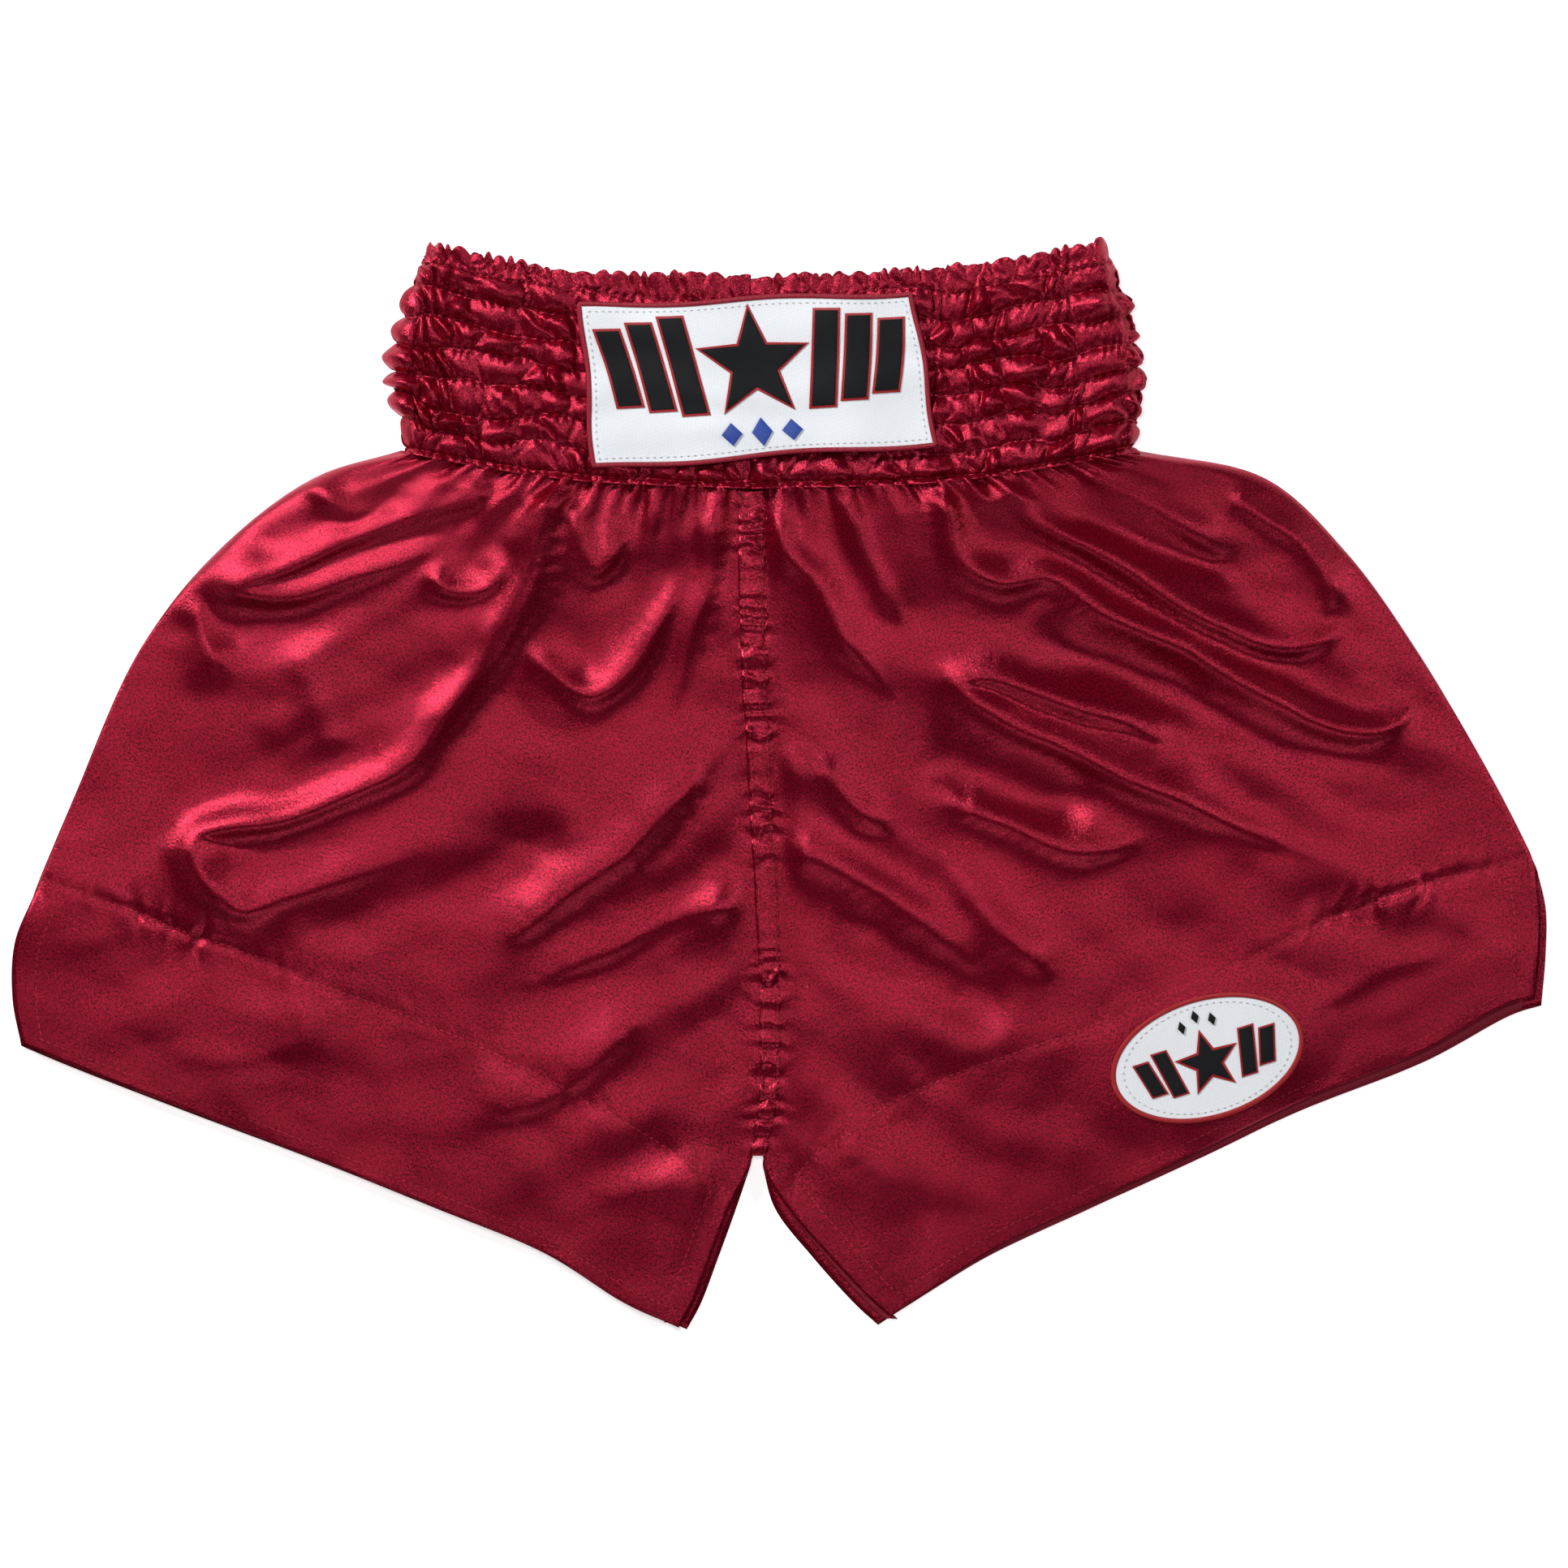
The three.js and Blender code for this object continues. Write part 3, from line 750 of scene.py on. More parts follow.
def lay_front(leg):
    """The front layer: its main folds as listed, and the move that the simulation gives them."""
    columns, rows = SIMULATED_STEPS
    start, u, v = front_start(leg, columns * 4, rows * 4)
    cut = leg.cut(u, v)
    coarse = (slice(None, None, 4), slice(None, None, 4))
    settled = settle(f"{leg.side} front", start[coarse], cut[coarse], hold_panel(leg, u[coarse], v[coarse]), 4.0, 30)
    move = softened(settled - start[coarse], 2)
    across = np.linalg.norm(move[..., :2], axis=-1, keepdims=True)
    move[..., :2] *= np.minimum(1, MOST_MOVE / np.maximum(across, 1e-6))
    settled = start + finer(finer(move))
    settled[..., 2] = np.minimum(above_back(settled[..., 2] - 0.4), HIGHEST)
    return settled, cut, u, v


def seam_pucker(x, y):
    """Puckers across the centre seam, from about -1 to 1."""
    phase = y + noise(y, y * 0, 17, 7) * 9 + noise(x * 1.5, y, 7, 5) * 3.5
    pull = 0.6 + 0.7 * noise(x * 0.4, y, 14, 8)
    return pull * (np.sin(phase * math.tau / 9.0) + 0.6 * np.sin(phase * math.tau / 4.7))


def gathers(x, y, u, v, side):
    """Puckers below the waist seam, along the centre seam and along the hem's row of stitches."""
    rng = np.random.default_rng({"right": 61, "left": 62}[side])
    width, length = 160.0, 370.0
    down = v * length
    height = np.zeros_like(x)
    for tallest, longest, widest, pitch in ((5.4, 44, 4.0, 11.5), (2.5, 13, 2.2, 6.0)):
        place = 2.0
        while place < width - 4:
            tall, reach = rng.uniform(0.35, 1) * tallest, rng.uniform(0.25, 1) * longest
            slim, lean = rng.uniform(0.55, 1) * widest, rng.normal(0, 0.10)
            across = u * width - place - lean * down
            height += tall * np.exp(-(across / (slim * (1 + down / 60))) ** 2) * np.exp(-(down / reach) ** 1.5)
            place += rng.uniform(0.4, 1) * pitch
    height = (height - 1.3 * np.exp(-v * length / 22)) * ramp(u, 0.005, 0.04)
    middle = np.interp(y, [p[1] for p in CENTRE_SEAM][::-1], [p[0] for p in CENTRE_SEAM][::-1])
    from_seam = np.abs(x - middle) - 5
    reach = 3.6 + 1.8 * noise(y, y * 0, 9, 9)
    height += 0.6 * seam_pucker(x, y) * np.exp(-(from_seam / reach) ** 2) * ramp(y, -165, -150)
    distance, share = near(Line(HEM_ROW[side]).points[::5], x, y)
    pull = 0.25 + 1.3 * np.exp(-((share - HEM_PULL[side]) / 0.10) ** 2)
    bend = x * 0.9 + noise(x, y, 15, 6) * 5
    across = np.sin(bend * math.tau / 9.5) + 0.6 * np.sin(bend * math.tau / 5.7 + 1)
    height += pull * (0.7 * across * np.exp(-(distance / 8.0) ** 2) - 0.8 * np.exp(-(distance / 2.6) ** 2))
    return height


def flatten_under_badge(side, grid):
    if side != "left":
        return grid
    x, y = grid[..., 0] - OVAL["x"], grid[..., 1] - OVAL["y"]
    c, s = math.cos(OVAL["tilt"]), math.sin(OVAL["tilt"])
    r = np.hypot((x * c + y * s) / OVAL["a"], (y * c - x * s) / OVAL["b"])
    under = 1 - ramp(r, 0.85, 1.5)
    level = OVAL_LEVEL + 0.6 * np.sin(x / 17.0)
    grid[..., 2] = mix(grid[..., 2], level, under)
    return grid


OVAL_LEVEL = 10.5
FRONT = {}


def make_front_panel(side):
    leg = Leg(side, "front")
    grid, cut, u, v = lay_front(leg)
    grid[..., 2] += gathers(grid[..., 0], grid[..., 1], u, v, side)
    grid = flatten_under_badge(side, grid)
    FRONT[side] = {"grid": grid, "cut": cut, "u": u, "v": v, "leg": leg}
    panel = cloth_piece(f"{side}_front_cloth", grid, SATIN, cut)
    flat_area(cut)
    stretches(panel, side, "satin", f"{side}_front_panel")


def flat_area(cut):
    a, b = cut[1:, 1:] - cut[:-1, :-1], cut[1:, :-1] - cut[:-1, 1:]
    return float(np.abs(a[..., 0] * b[..., 1] - a[..., 1] * b[..., 0]).sum()) / 2 * MM * MM


def make_back_panel(side):
    leg = Leg(side, "back")
    place, u, v = leg.plan(110, 128)
    x, y = place[..., 0], place[..., 1]
    inside = edge_drop(leg, x, y, u, v)
    ripples = 1.0 + noise(x, y, 34, 21) * 0.7 + noise(x * 0.6 + y * 0.8, y, 15, 22) * 0.35
    at_waist = 1 - ramp(v, 0.0, 0.10)
    fan = np.sin(u * 160 * math.tau / 7.1) * np.exp(-v * 380 / 16.0)
    z = mix(SEAM_LEVEL, FLOOR_CLEAR + ripples, inside) + at_waist * (0.6 + 0.7 * fan) * inside
    grid = np.dstack([x, y, z])
    cut = leg.cut(u, v)
    panel = cloth_piece(f"{side}_back_cloth", grid, SATIN, cut)
    flat_area(cut)
    stretches(panel, side, "satin", f"{side}_back_panel")
    return grid, cut, u, v


FACING_SHARE = 0.2  # share of a panel's length that its turned-up hem covers


def make_hem_facing(side, face, grid, cut, v):
    """The hem, turned up inside the panel: the same cloth again, just inside it."""
    first = int(np.searchsorted(v[:, 0], 1 - FACING_SHARE))
    step = 2 if face == "front" else 1
    inner = grid[first:, 3:-3][::step, ::step].copy()
    into = -1 if face == "front" else 1
    inner += normals_of(inner) * into * (CLOTH + 0.5)
    facing = cloth_piece(f"{side}_{face}_hem_turn", inner, REVERSE, cut[first:, 3:-3][::step, ::step])
    flat = cut[first:, 3:-3]
    flat_area(flat)
    stretches(facing, side, "satin_reverse", f"{side}_{face}_hem_facing")


BACK = {}
for side in SIDES:
    make_front_panel(side)
    BACK[side] = make_back_panel(side)
    make_hem_facing(side, "front", FRONT[side]["grid"], FRONT[side]["cut"], FRONT[side]["v"])
    make_hem_facing(side, "back", *BACK[side][:2], BACK[side][3])

# ---- Waistband ------------------------------------------------------------------------

BAND_STEP = 0.75  # mm between grid points
BADGE_MIDDLE = -9.0  # the badge presses the puffs down on both sides of this x


class Band:
    """One half of the waistband, front or back: a grid of cloth shirred on its elastics."""

    def __init__(self, side, face):
        self.side, self.face = side, face
        self.rows = int(round(BAND_HEIGHT / BAND_STEP))
        self.columns = 200
        bottom, top = Line(WAIST[side]["bottom"]), Line(WAIST[side]["top"])
        middle = Line([WAIST[side]["bottom"][0], WAIST[side]["top"][0]])
        s, t = np.linspace(0, 1, self.columns + 1), np.linspace(0, 1, self.rows + 1)
        self.plan = coons(bottom, top, middle, Line(WAIST_SIDE[side]), s, t)
        self.s, self.t = np.meshgrid(s, t)
        self.up = self.t * BAND_HEIGHT
        steps = np.linalg.norm(np.diff(self.plan, axis=1), axis=-1)
        self.along = np.concatenate([np.zeros((len(t), 1)), np.cumsum(steps, axis=1)], axis=1)
        self.left_over = self.along[:, -1:] - self.along  # to the side, along each row
        self.channel = np.floor((self.up - FIRST_ROW) / ROW_PITCH + 1e-6).astype(int)
        self.across = (self.up - FIRST_ROW) / ROW_PITCH - self.channel  # 0 to 1 from row to row

    def puffs(self, seed):
        """Height of the puffs between the rows of stitches, from 0 at a crease to about 1."""
        rng = np.random.default_rng(seed)
        creases = np.cumsum(rng.uniform(5.0, 15.0, 44)) - 10
        height = np.zeros_like(self.up)
        for channel in range(-1, ROWS):
            here = self.channel == channel
            creases = np.sort(creases + rng.normal(0, 2.2, creases.size))
            slant = rng.normal(0, 4.2, creases.size)
            tall = rng.uniform(0.35, 1.3, creases.size) * rng.uniform(0.85, 1.1)
            along = self.along + noise(self.along, self.up, 8, seed + channel + 2) * 2.4
            across = np.clip(self.across, 0, 1)
            order = np.arange(creases.size)
            rough = np.interp(along, creases, order)
            along = along + np.interp(rough, order, slant) * (across - 0.5)
            count = np.interp(along, creases, order)
            puff = np.abs(np.sin(count * math.pi)) ** 0.8
            size = np.interp(count - 0.5, order, tall)
            if channel == ROWS - 1:
                profile = 0.42 * np.sqrt(np.clip((self.up - self.up[-1, 0]) / -9.0, 0, 1))
            else:
                profile = np.sin(math.pi * across) ** 0.7
            height = np.where(here, profile * size * (0.06 + 0.94 * puff), height)
        return height

    def lobes(self, seed):
        """The ruffle along the top edge: lobes of different widths with a notch between each two."""
        rng = np.random.default_rng(seed)
        notches = np.cumsum(rng.uniform(3.4, 10.5, 54)) - 8
        size = rng.uniform(0.45, 1.15, notches.size)
        along = self.along + noise(self.along, self.up, 6, seed) * 1.2
        order = np.arange(notches.size)
        count = np.interp(along, notches, order)
        return np.abs(np.sin(count * math.pi)) ** 0.65 * np.interp(count - 0.5, order, size)

    def grid(self, seed, lift, base, rise):
        """Points of the casing: base is the level of the rows of stitches and lift the height of a puff."""
        puffs = self.puffs(seed) * lift
        pressed = 1 - ramp(np.abs(self.plan[..., 0] - BADGE_MIDDLE), 74, 96)
        puffs *= 1 - 0.45 * pressed * ramp(self.up, 4, 12) * (1 - ramp(self.up, 84, 90))
        to_row = np.minimum(self.across, 1 - self.across) * ROW_PITCH
        tucks = np.sin((self.along + noise(self.along, self.up, 6, seed + 40) * 2.4) * math.tau / 4.3)
        puffs += 0.6 * tucks * np.exp(-(to_row / 2.8) ** 2)
        twist = self.along + 0.55 * noise(self.along, self.up, 24, seed + 51) * self.up
        wrinkles = 0.45 - np.abs(noise(twist, self.up * 0.8, 6.5, seed + 50))
        puffs += 1.0 * wrinkles * ramp(to_row, 0.3, 2.5) * (1 - 0.6 * pressed)
        puffs = np.maximum(puffs, -0.4)  # clear of the elastics
        radius = base - BAND_MIDDLE
        turn = np.clip(1 - self.left_over / (radius * 1.15), 0, 1) * math.pi / 2
        away = AWAY[self.side]
        drawn_in = 3.6 * (1 - ramp(self.left_over, 0, 14))  # room for the puffs inside the band's outline
        x = self.plan[..., 0] + away * (puffs * np.sin(turn) - drawn_in)
        sway = 3.2 * noise(self.along, self.up, 23, seed + 60) + 1.8 * noise(self.along, self.up, 9, seed + 61)
        sway = sway * ramp(self.up, 0, 10)
        y = self.plan[..., 1] + sway * (1 - ramp(self.up, 84, 97))
        header = ramp(self.up, BAND_HEIGHT - 10, BAND_HEIGHT)
        lobes = self.lobes(seed + 70)
        y = y + header * (4.2 * (lobes - 0.72))
        z = BAND_MIDDLE + rise * np.cos(turn) * (radius + puffs + header * 2.4 * (lobes - 0.3))
        return np.dstack([x, y, z])

    def cut(self, fullness):
        """The flat cloth, before its rows drew it in to one part in fullness."""
        wide = AWAY[self.side] * self.along[:, -1].mean() * fullness
        return np.stack([self.s * wide, self.t * BAND_HEIGHT * (1 + 0.35 * (fullness - 1))], -1)


CASING = {}


def make_casing(side, face):
    band = Band(side, face)
    front = face == "front"
    seed = {"right": 100, "left": 300}[side] + (0 if front else 900)
    base = BAND_BASE if front else 2 * BAND_MIDDLE - 4.5
    grid = band.grid(seed, 5.6 if front else 3.6, base, 1 if front else -1)
    if not front:
        grid[..., 2] = np.maximum(grid[..., 2], FLOOR_CLEAR)
    CASING[side, face] = (band, grid)
    cut = band.cut(1.45 if front else 1.3)
    casing = cloth_piece(f"{side}_{face}_shirring", grid, SATIN, cut)
    stretches(casing, side, "satin", f"{side}_{face}_waist_casing")


def make_band_facing(side, face):
    """The inner layer of the waistband, drawn into small tucks by the same rows."""
    band = Band(side, face)
    rise = 1 if face == "front" else -1
    step = (slice(None, None, 2), slice(None, -8, 2))
    puffs = band.puffs({"right": 500, "left": 700}[side]) * 1.3
    level = BAND_MIDDLE + rise * 4.4
    z = level - rise * puffs
    grid = np.dstack([band.plan[..., 0], band.plan[..., 1] - 1.5 * band.t, z])[step]
    cut = band.cut(1.12)[step]
    facing = cloth_piece(f"{side}_{face}_waist_lining", grid, REVERSE, cut)
    stretches(facing, side, "satin_reverse", f"{side}_{face}_waist_facing")


def make_elastics(side):
    """The seven elastics of one half, each a flat band from the front centre round the side to the back."""
    strips = []
    band = CASING[side, "front"][0]
    out, half = 5.3, 5.0
    for number in range(ROWS - 1):
        row = int(round((FIRST_ROW + (number + 0.5) * ROW_PITCH) / BAND_STEP))
        line = Line(band.plan[row, :-20:6])
        end = line(1.0)
        across = np.array([0.0, 1.0])
        points = []
        for share in np.linspace(0, 1, 26):
            x, y = line(share)
            points.append((x, y, BAND_MIDDLE + out))
        for angle in np.linspace(80, -80, 9):
            a = math.radians(angle)
            points.append((end[0] + AWAY[side] * math.cos(a) * out, end[1] + 0.6, BAND_MIDDLE + math.sin(a) * out))
        for share in np.linspace(1, 0, 26):
            x, y = line(share)
            points.append((x, y, BAND_MIDDLE - out))
        points = np.array(points)
        grid = np.stack([points + [0, -half, 0], points + [0, -half / 3, 0], points + [0, half / 3, 0],
                         points + [0, half, 0]])
        flat = np.dstack([np.tile(np.arange(len(points)) * 6.0, (4, 1)), np.tile([[-5], [-2], [2], [5]], len(points))])
        strips.append(cloth_piece(f"strip_{number}", grid, ELASTIC, flat, 0.9))
    elastics = join(f"{side}_elastics", strips)
    stretches(elastics, side, "elastic", *[f"elastic_{n + 1}" for n in range(ROWS - 1)])


for side in SIDES:
    for face in ("front", "back"):
        make_casing(side, face)
        make_band_facing(side, face)
    make_elastics(side)

# ---- Seams ----------------------------------------------------------------------------


def make_centre_seam(face):
    """Felled seam: a folded strip over the joint of the two panels, drawn in by its two rows of stitches."""
    line = Line(CENTRE_SEAM)
    share = np.linspace(0.0, 0.985, 240)
    path = line(share)
    half = seam_half_width(path[:, 1])
    front = face == "front"
    source = {side: (FRONT[side]["grid"] if front else BACK[side][0]) for side in SIDES}
    levels = np.zeros(len(path))
    for side in SIDES:
        inner = source[side][:, 1]
        levels += np.interp(path[:, 1], inner[::-1, 1], inner[::-1, 2]) / 2
    columns = np.linspace(-1, 1, 13)
    y = path[:, 1][:, None] + 0 * columns
    raised = 0.15 + 0.65 * seam_pucker(path[:, 0][:, None] + columns * 4, y) + 0.5 * (1 - columns ** 2)
    z = levels[:, None] + (raised if front else 0.9 - 0.2 * raised)
    z = np.maximum(z, FLOOR_CLEAR)
    x = path[:, 0][:, None] + columns * (half[:, None] + 1.6) + 0.35 * noise(y, columns, 14, 33)
    grid = np.dstack([x, y, z])
    cut = np.stack([columns[None, :] * half.mean() + 0 * y, y], -1)
    seam = cloth_piece(f"centre_{face}_fell", grid, SATIN, cut)
    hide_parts(f"centre_{face}_seam")
    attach(seam, "centre")
    return grid


SEAM = {face: make_centre_seam(face) for face in ("front", "back")}


def make_allowance(side, name, line, reach, low, high, node):
    """The raw edges inside a side seam or inseam: two layers of cloth, overlocked together."""
    share = np.linspace(0.06, 0.95, 90)
    path = line(share)
    inward = np.linspace(0, 1, 5)
    x = path[:, 0][:, None] + reach * inward
    y = path[:, 1][:, None] + 0.4 * noise(path[:, 0] * 1.0, path[:, 1], 9, 51)[:, None] * inward
    z = mix(low, high, 0.5) + 0.9 * np.sin(share * 60)[:, None] * inward * 0.5
    grid = np.dstack([x, y, z + 0 * x])
    cut = np.stack([inward[None, :] * abs(reach) + 0 * y, y], -1)
    piece = cloth_piece(f"{side}_{name}_allowance", grid, REVERSE, cut, 1.1)
    stretches(piece, side, "satin_reverse", node)


for side in SIDES:
    away = AWAY[side]
    make_allowance(side, "side", Line([(x - away * 1.5, y) for x, y in OUTLINE[side]["side"]]), -away * 7, 3.5, 6.5,
                   f"{side}_side_seam")
    make_allowance(side, "inner", Line([(x + away * 6.0, y) for x, y in OUTLINE[side]["inseam"]]), away * 6, 3.0, 5.5,
                   f"{side}_inseam")

# ---- Stitches -------------------------------------------------------------------------


def thread_tree():
    """Geometry Nodes: threads laid one after another along a path, each an ellipsoid, turned by slant."""
    tree = bpy.data.node_groups.new("threads", "GeometryNodeTree")
    face = tree.interface
    face.new_socket("Geometry", in_out="INPUT", socket_type="NodeSocketGeometry")
    for name in ("Pitch", "Length", "Radius", "Slant"):
        face.new_socket(name, in_out="INPUT", socket_type="NodeSocketFloat")
    face.new_socket("Thread", in_out="INPUT", socket_type="NodeSocketMaterial")
    face.new_socket("Geometry", in_out="OUTPUT", socket_type="NodeSocketGeometry")

    def node(kind, **settings):
        made = tree.nodes.new(kind)
        for key, value in settings.items():
            setattr(made, key, value)
        return made

    def link(a, b):
        tree.links.new(a, b)

    given, result = node("NodeGroupInput"), node("NodeGroupOutput")
    curve, resample = node("GeometryNodeMeshToCurve"), node("GeometryNodeResampleCurve", mode="LENGTH")
    tangent = node("GeometryNodeInputTangent")
    align = node("FunctionNodeAlignRotationToVector", axis="X", pivot_axis="Z")
    slant, turn = node("ShaderNodeCombineXYZ"), node("FunctionNodeRotateRotation", rotation_space="LOCAL")
    ball = node("GeometryNodeMeshUVSphere")
    ball.inputs["Segments"].default_value, ball.inputs["Rings"].default_value = 6, 4
    ball.inputs["Radius"].default_value = 1.0
    size = node("ShaderNodeCombineXYZ")
    spread, real = node("GeometryNodeInstanceOnPoints"), node("GeometryNodeRealizeInstances")
    rounded, paint = node("GeometryNodeSetShadeSmooth"), node("GeometryNodeSetMaterial")
    link(given.outputs["Geometry"], curve.inputs["Mesh"])
    link(curve.outputs["Curve"], resample.inputs["Curve"])
    link(given.outputs["Pitch"], resample.inputs["Length"])
    link(resample.outputs["Curve"], spread.inputs["Points"])
    link(ball.outputs["Mesh"], spread.inputs["Instance"])
    link(tangent.outputs["Tangent"], align.inputs["Vector"])
    link(align.outputs["Rotation"], turn.inputs["Rotation"])
    link(given.outputs["Slant"], slant.inputs["Z"])
    link(slant.outputs["Vector"], turn.inputs["Rotate By"])
    link(turn.outputs["Rotation"], spread.inputs["Rotation"])
    link(given.outputs["Length"], size.inputs["X"])
    link(given.outputs["Radius"], size.inputs["Y"])
    link(given.outputs["Radius"], size.inputs["Z"])
    link(size.outputs["Vector"], spread.inputs["Scale"])
    link(spread.outputs["Instances"], real.inputs["Geometry"])
    link(real.outputs["Geometry"], rounded.inputs["Geometry"])
    link(rounded.outputs["Geometry"], paint.inputs["Geometry"])
    link(given.outputs["Thread"], paint.inputs["Material"])
    link(paint.outputs["Geometry"], result.inputs["Geometry"])
    return tree


THREADS = thread_tree()


def lay_threads(name, paths, material, pitch, length, radius, slant=0.0):
    """A plain mesh of stitches along paths in mm. Length and radius are half sizes."""
    points, edges = [], []
    for path in paths:
        start = len(points)
        points.extend(np.asarray(path, float).tolist())
        edges.extend((start + i, start + i + 1) for i in range(len(path) - 1))
    guide = new_mesh(name + "_guide", points, [], edges)
    maker = guide.modifiers.new("threads", "NODES")
    maker.node_group = THREADS
    values = {"Pitch": pitch * MM, "Length": length * MM, "Radius": radius * MM, "Slant": slant, "Thread": material}
    for item in THREADS.interface.items_tree:
        if item.in_out == "INPUT" and item.name in values:
            maker[item.identifier] = values[item.name]
    bpy.context.view_layer.update()
    mesh = bpy.data.meshes.new_from_object(guide.evaluated_get(bpy.context.evaluated_depsgraph_get()))
    piece = bpy.data.objects.new(name, mesh)
    mesh.name = name
    bpy.context.collection.objects.link(piece)
    bpy.data.objects.remove(guide)
    return piece


def height_on(grid, x, y, reach=4.0):
    """Height of a cloth grid at points: the weighted mean of its nearest points."""
    flat = grid.reshape(-1, 3)
    result = np.empty(len(x))
    for i, (px, py) in enumerate(zip(x, y)):
        close = flat[(np.abs(flat[:, 0] - px) < reach) & (np.abs(flat[:, 1] - py) < reach)]
        weight = 1 / ((close[:, 0] - px) ** 2 + (close[:, 1] - py) ** 2 + 0.02) ** 2
        result[i] = (close[:, 2] * weight).sum() / weight.sum()
    return result


def on_cloth(grid, path, lift=0.35):
    return np.column_stack([path[:, 0], path[:, 1], height_on(grid, path[:, 0], path[:, 1]) + lift])


def stitch_band(side):
    paths = []
    for face, up in (("front", 1), ("back", -1)):
        band, grid = CASING[side, face]
        over = normals_of(grid) * up
        for row in range(ROWS):
            j = int(round((FIRST_ROW + row * ROW_PITCH) / BAND_STEP))
            paths.append((grid + over * 0.30)[j, 1:-4])
    rows = lay_threads(f"{side}_shirring_stitches", paths, STITCH, 3.4, 1.25, 0.24)
    stretches(rows, side, "satin")


def stitch_leg(side):
    hem = Line(HEM_ROW[side])(np.linspace(0, 1, 260))
    paths = [on_cloth(FRONT[side]["grid"], hem)]
    back = BACK[side][0]
    leg = FRONT[side]["leg"]
    grid = FRONT[side]["grid"]
    edge_lift = np.array([0, 0, 0.35])
    vent_rows = grid[int(grid.shape[0] * leg.vent) + 4:-6, -7] + edge_lift
    inner_rows = grid[int(grid.shape[0] * leg.crotch) + 6:-6, 6] + edge_lift
    hem_edge = grid[-5, 6:-6] + edge_lift
    paths += [vent_rows, inner_rows, hem_edge]
    stitches = lay_threads(f"{side}_leg_stitches", paths, STITCH, 3.3, 1.2, 0.24)
    stretches(stitches, side, "satin")


def stitch_centre():
    paths = []
    for column in (2, 10):
        path = SEAM["front"][2:, column] + [0, 0, 0.42]
        paths.append(path)
    stitches = lay_threads("centre_seam_stitches", paths, STITCH, 3.4, 1.25, 0.26)
    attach(stitches, "centre")


for side in SIDES:
    stitch_band(side)
    stitch_leg(side)
stitch_centre()

# ---- Badges ---------------------------------------------------------------------------

BADGE_LEVEL = BAND_BASE + 4.9
BADGE_THICK = 0.9


def rest_on(piece, body, slot, *nodes):
    if nodes:
        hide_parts(*nodes)
    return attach(piece, body)


def waist_badge_height(x, y):
    """The badge lies over the puffs: gentle waves along it."""
    wave = 0.75 * np.sin(x / 9.5 + y / 40.0) + 0.5 * noise(x, y, 17, 81) + 0.35 * np.sin(y / 3.9 + noise(x, y, 30, 82) * 2)
    return BADGE_LEVEL + wave * 0.8


def leg_badge_height(x, y):
    return OVAL_LEVEL + 0.75 + 0.6 * np.sin((x - OVAL["x"]) / 17.0) + 0.15 * noise(x, y, 14, 83)


def waist_frame(a, b):
    """From -1 to 1 across and up the badge to x and y: its corners aren't quite square."""
    top = mix(np.array(BADGE[0], float), np.array(BADGE[1], float), (a[..., None] + 1) / 2)
    low = mix(np.array(BADGE[3], float), np.array(BADGE[2], float), (a[..., None] + 1) / 2)
    place = mix(low, top, (b[..., None] + 1) / 2)
    place[..., 1] += 1.1 * np.sin(a * 5.2 + 0.6) * np.abs(b) ** 3
    place[..., 0] += 0.9 * np.sin(b * 4.1 + 1.0) * np.abs(a) ** 3
    return place


def oval_frame(a, b):
    """From -1 to 1 along both axes of the oval to x and y."""
    c, s = math.cos(OVAL["tilt"]), math.sin(OVAL["tilt"])
    along, across = a * OVAL["a"], b * OVAL["b"]
    return np.stack([OVAL["x"] + along * c - across * s, OVAL["y"] + along * s + across * c], -1)


BADGES = {
    "waist": {"frame": waist_frame, "height": waist_badge_height, "half": (74.5, 35.5), "border": CRIMSON},
    "leg": {"frame": oval_frame, "height": leg_badge_height, "half": (OVAL["a"], OVAL["b"]), "border": RED},
}


def badge_point(kind, a, b, lift=0.0):
    badge = BADGES[kind]
    place = badge["frame"](np.asarray(a, float), np.asarray(b, float))
    level = badge["height"](place[..., 0], place[..., 1]) + lift
    return np.concatenate([place, level[..., None]], -1)


def make_badge_cloth(kind, body, node):
    if kind == "waist":
        a, b = np.meshgrid(np.linspace(-0.985, 0.985, 150), np.linspace(-0.97, 0.97, 76))
    else:
        # The grid's corners are rounded onto the oval.
        p, q = np.meshgrid(np.linspace(-1, 1, 110), np.linspace(-1, 1, 80))
        a, b = p * np.sqrt(1 - q * q / 2) * 0.975, q * np.sqrt(1 - p * p / 2) * 0.975
    grid = badge_point(kind, a, b)
    half = BADGES[kind]["half"]
    cloth = cloth_piece(f"{kind}_badge_twill", grid, TWILL, np.stack([a * half[0], b * half[1]], -1), BADGE_THICK)
    rest_on(cloth, body, "badge_cloth", node)


def outline_of(kind, shrink=1.0, steps=400):
    """Points round a badge's edge, in shares of its half sizes."""
    t = np.linspace(0, 1, steps, endpoint=False)
    if kind == "leg":
        return np.stack([np.cos(t * math.tau), np.sin(t * math.tau)], -1) * shrink
    half = np.array(BADGES[kind]["half"])
    inner = 1 - (1 - shrink) * half[1] / half
    corners = np.array([(-1, -1), (1, -1), (1, 1), (-1, 1), (-1, -1)], float)
    lengths = np.cumsum([0] + [2 * half[0], 2 * half[1], 2 * half[0], 2 * half[1]])
    at = t * lengths[-1]
    return np.stack([np.interp(at, lengths, corners[:, k]) for k in range(2)], -1) * inner


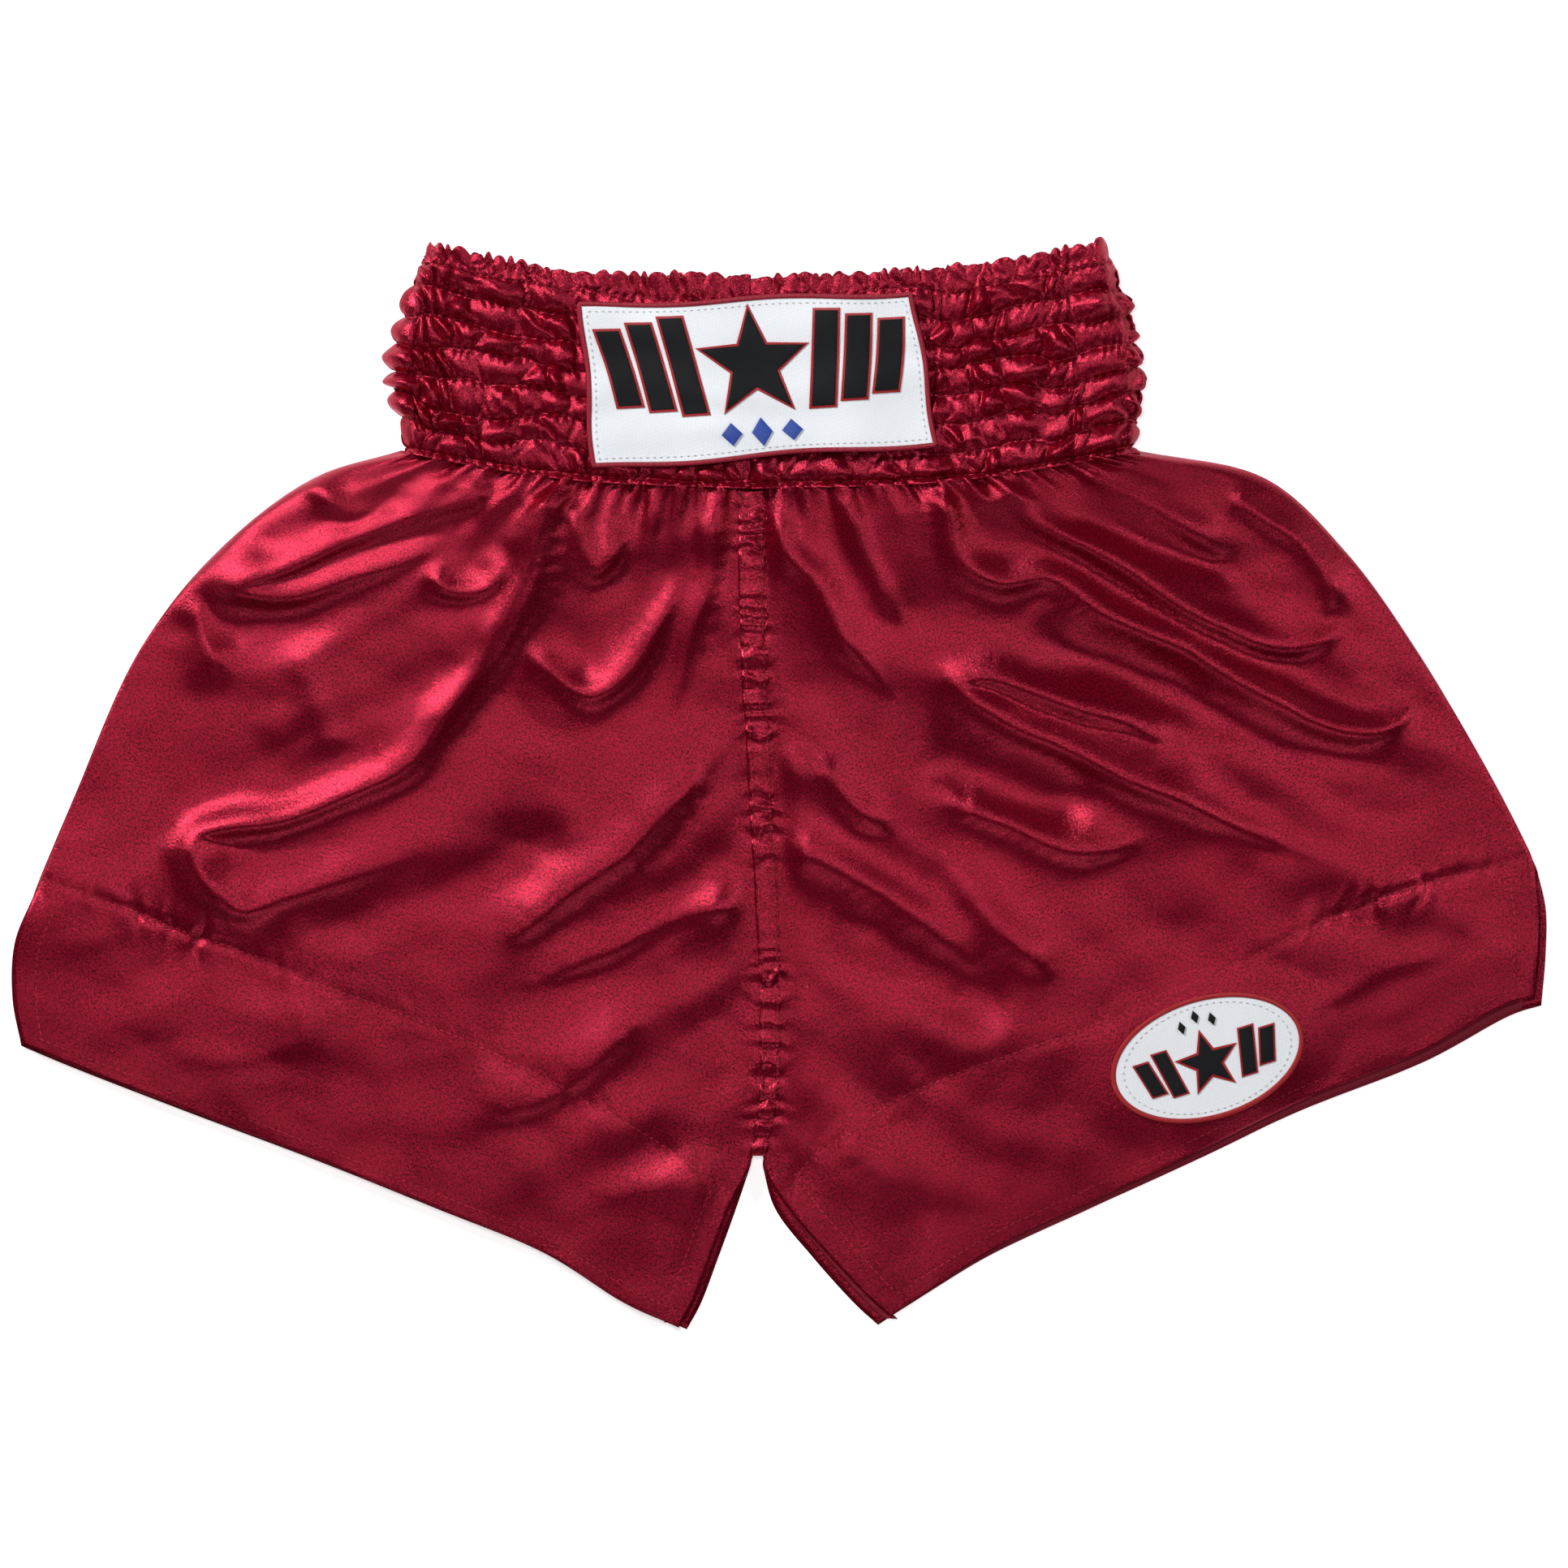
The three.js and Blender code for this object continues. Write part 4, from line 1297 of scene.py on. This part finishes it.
def make_border(kind, body, node):
    """Overlocked edge: a soft roll of cloth under close slanted threads."""
    color = BADGES[kind]["border"]
    ring = outline_of(kind, 1 - 1.3 / BADGES[kind]["half"][1])
    path = badge_point(kind, ring[:, 0], ring[:, 1], 0.25)
    closed = np.vstack([path, path[:1]])
    tangent = np.roll(path, -1, axis=0) - np.roll(path, 1, axis=0)
    side = np.stack([tangent[:, 1], -tangent[:, 0], 0 * tangent[:, 0]], -1)
    side /= np.linalg.norm(side, axis=1, keepdims=True)
    up = np.array([0, 0, 1.0])
    turns = np.linspace(0, math.tau, 8, endpoint=False)
    points = np.concatenate([path + side * math.cos(t) * 1.15 + up * math.sin(t) * 0.62 for t in turns])
    count = len(path)
    faces = []
    for j in range(len(turns)):
        for i in range(count):
            k, after = (j + 1) % len(turns), (i + 1) % count
            faces.append((j * count + i, j * count + after, k * count + after, k * count + i))
    roll = new_mesh(f"{kind}_roll", points, faces)
    roll.data.materials.append(color)
    smooth(orient(roll))
    threads = lay_threads(f"{kind}_overlock", [closed + [0, 0, 0.28]], color, 0.62, 1.35, 0.42, math.radians(68))
    rest_on(join(f"{kind}_badge_edge", [roll, threads]), body, "badge_border", node)


def make_badge_stitches(kind, body):
    ring = outline_of(kind, 1 - 4.2 / BADGES[kind]["half"][1])
    path = badge_point(kind, ring[:, 0], ring[:, 1], BADGE_THICK / 2 + 0.12)
    stitches = lay_threads(f"{kind}_badge_stitches", [np.vstack([path, path[:1]])], WHITE, 3.0, 0.75, 0.28)
    rest_on(stitches, body, "badge_cloth")


def polygon_star(radius, waist=0.42, points=5):
    angles = math.pi / 2 + np.arange(2 * points) * math.pi / points
    radii = np.where(np.arange(2 * points) % 2, radius * waist, radius)
    return np.stack([radii * np.cos(angles), radii * np.sin(angles)], -1)


def polygon_bar(hand, width, height, lean):
    corners = [(-width / 2 - lean, -height / 2), (width / 2 - lean, -height / 2), (width / 2 + lean, height / 2),
               (-width / 2 + lean, height / 2)]
    return np.array([(hand * x, y) for x, y in corners])


def polygon_diamond(width, height):
    return np.array([(width / 2, 0), (0, height / 2), (-width / 2, 0), (0, -height / 2)])


def grown(outline, by):
    """The outline moved outwards by a distance."""
    before, after = np.roll(outline, 1, axis=0), np.roll(outline, -1, axis=0)
    area = (outline[:, 0] * after[:, 1] - outline[:, 1] * after[:, 0]).sum()
    normals = []
    for start, end in ((before, outline), (outline, after)):
        d = (end - start) / np.linalg.norm(end - start, axis=1, keepdims=True)
        normals.append(np.stack([d[:, 1], -d[:, 0]], -1) * np.sign(area))
    bisector = normals[0] + normals[1]
    return outline + bisector * by / np.maximum((1 + (normals[0] * normals[1]).sum(1)), 0.35)[:, None]


def raised_shape(kind, outline, centre, low, high, material, edge=0.35):
    """Embroidery: a padded shape with rounded edges that follows the badge's waves."""
    bm = bmesh.new()
    base = bm.faces.new([bm.verts.new((x, y, 0)) for x, y in outline])
    top = bmesh.ops.extrude_face_region(bm, geom=[base])["geom"]
    for vertex in [g for g in top if isinstance(g, bmesh.types.BMVert)]:
        vertex.co.z = 1.0
    rim = [e for e in bm.edges if all(v.co.z > 0.5 for v in e.verts)]
    bmesh.ops.bevel(bm, geom=rim, offset=edge, offset_type="WIDTH", segments=2, affect="EDGES", profile=0.6)
    bmesh.ops.recalc_face_normals(bm, faces=bm.faces)
    for axis in (0, 1):
        span = np.ptp(outline[:, axis])
        for at in np.arange(outline[:, axis].min() + 2.0, outline[:, axis].min() + span, 2.5):
            spot, normal = [0, 0, 0], [0, 0, 0]
            spot[axis], normal[axis] = at, 1
            geometry = bm.verts[:] + bm.edges[:] + bm.faces[:]
            bmesh.ops.bisect_plane(bm, geom=geometry, plane_co=spot, plane_no=normal)
    bmesh.ops.triangulate(bm, faces=bm.faces)
    half = BADGES[kind]["half"]
    local = np.array([v.co for v in bm.verts])
    a, b = (local[:, 0] + centre[0]) / half[0], (local[:, 1] + centre[1]) / half[1]
    world = badge_point(kind, a, b)
    world[:, 2] += mix(low, high, np.clip(local[:, 2], 0, 1))
    for vertex, place in zip(bm.verts, world):
        vertex.co = place * MM
    mesh = bpy.data.meshes.new("shape")
    bm.to_mesh(mesh)
    bm.free()
    mesh.materials.append(material)
    piece = bpy.data.objects.new("shape", mesh)
    bpy.context.collection.objects.link(piece)
    return piece


def make_motif(kind, body, name, outline, centre, slot, color, rim):
    """One embroidered figure: a flat red edge, where it has one, under a padded top."""
    parts = [raised_shape(kind, outline, centre, 0.2, 1.15, color)]
    if rim:
        parts.insert(0, raised_shape(kind, grown(outline, rim), centre, 0.15, 0.85, RED, 0.2))
    motif = join(name + "_embroidery", parts)
    smooth(motif)
    rest_on(motif, body, slot, name)


def make_badges():
    for kind, body in (("waist", "centre"), ("leg", "left_half")):
        make_badge_cloth(kind, body, f"{kind}_badge_cloth")
        make_border(kind, body, f"{kind}_badge_border")
        make_badge_stitches(kind, body)
    for kind, body, radius, rise in (("waist", "centre", 24, 6), ("leg", "left_half", 13, -2)):
        make_motif(kind, body, f"{kind}_badge_star", polygon_star(radius), (0, rise), "black_embroidery", BLACK, 1.1)
    for hand, side in ((-1, "right"), (1, "left")):
        for i in range(3):
            bar = polygon_bar(hand, 10, 42 - 5 * i, 3.5)
            make_motif("waist", "centre", f"waist_badge_{side}_bar_{i + 1}", bar, (hand * (31 + 14 * i), 7),
                       "black_embroidery", BLACK, 1.1)
        for i in range(2):
            bar = polygon_bar(hand, 6, 20 - 5 * i, 2)
            make_motif("leg", "left_half", f"leg_badge_{side}_bar_{i + 1}", bar, (hand * (18 + 9 * i), -2),
                       "black_embroidery", BLACK, 0.8)
    for i, place in enumerate(("right", "middle", "left")):
        make_motif("waist", "centre", f"waist_badge_{place}_diamond", polygon_diamond(9, 13 if i == 1 else 10),
                   (13 * (i - 1), -24), "blue_embroidery", BLUE, 0)
        make_motif("leg", "left_half", f"leg_badge_{place}_diamond", polygon_diamond(3.6, 6),
                   (7 * (i - 1), 19 if i == 1 else 16), "black_embroidery", BLACK, 0)


make_badges()
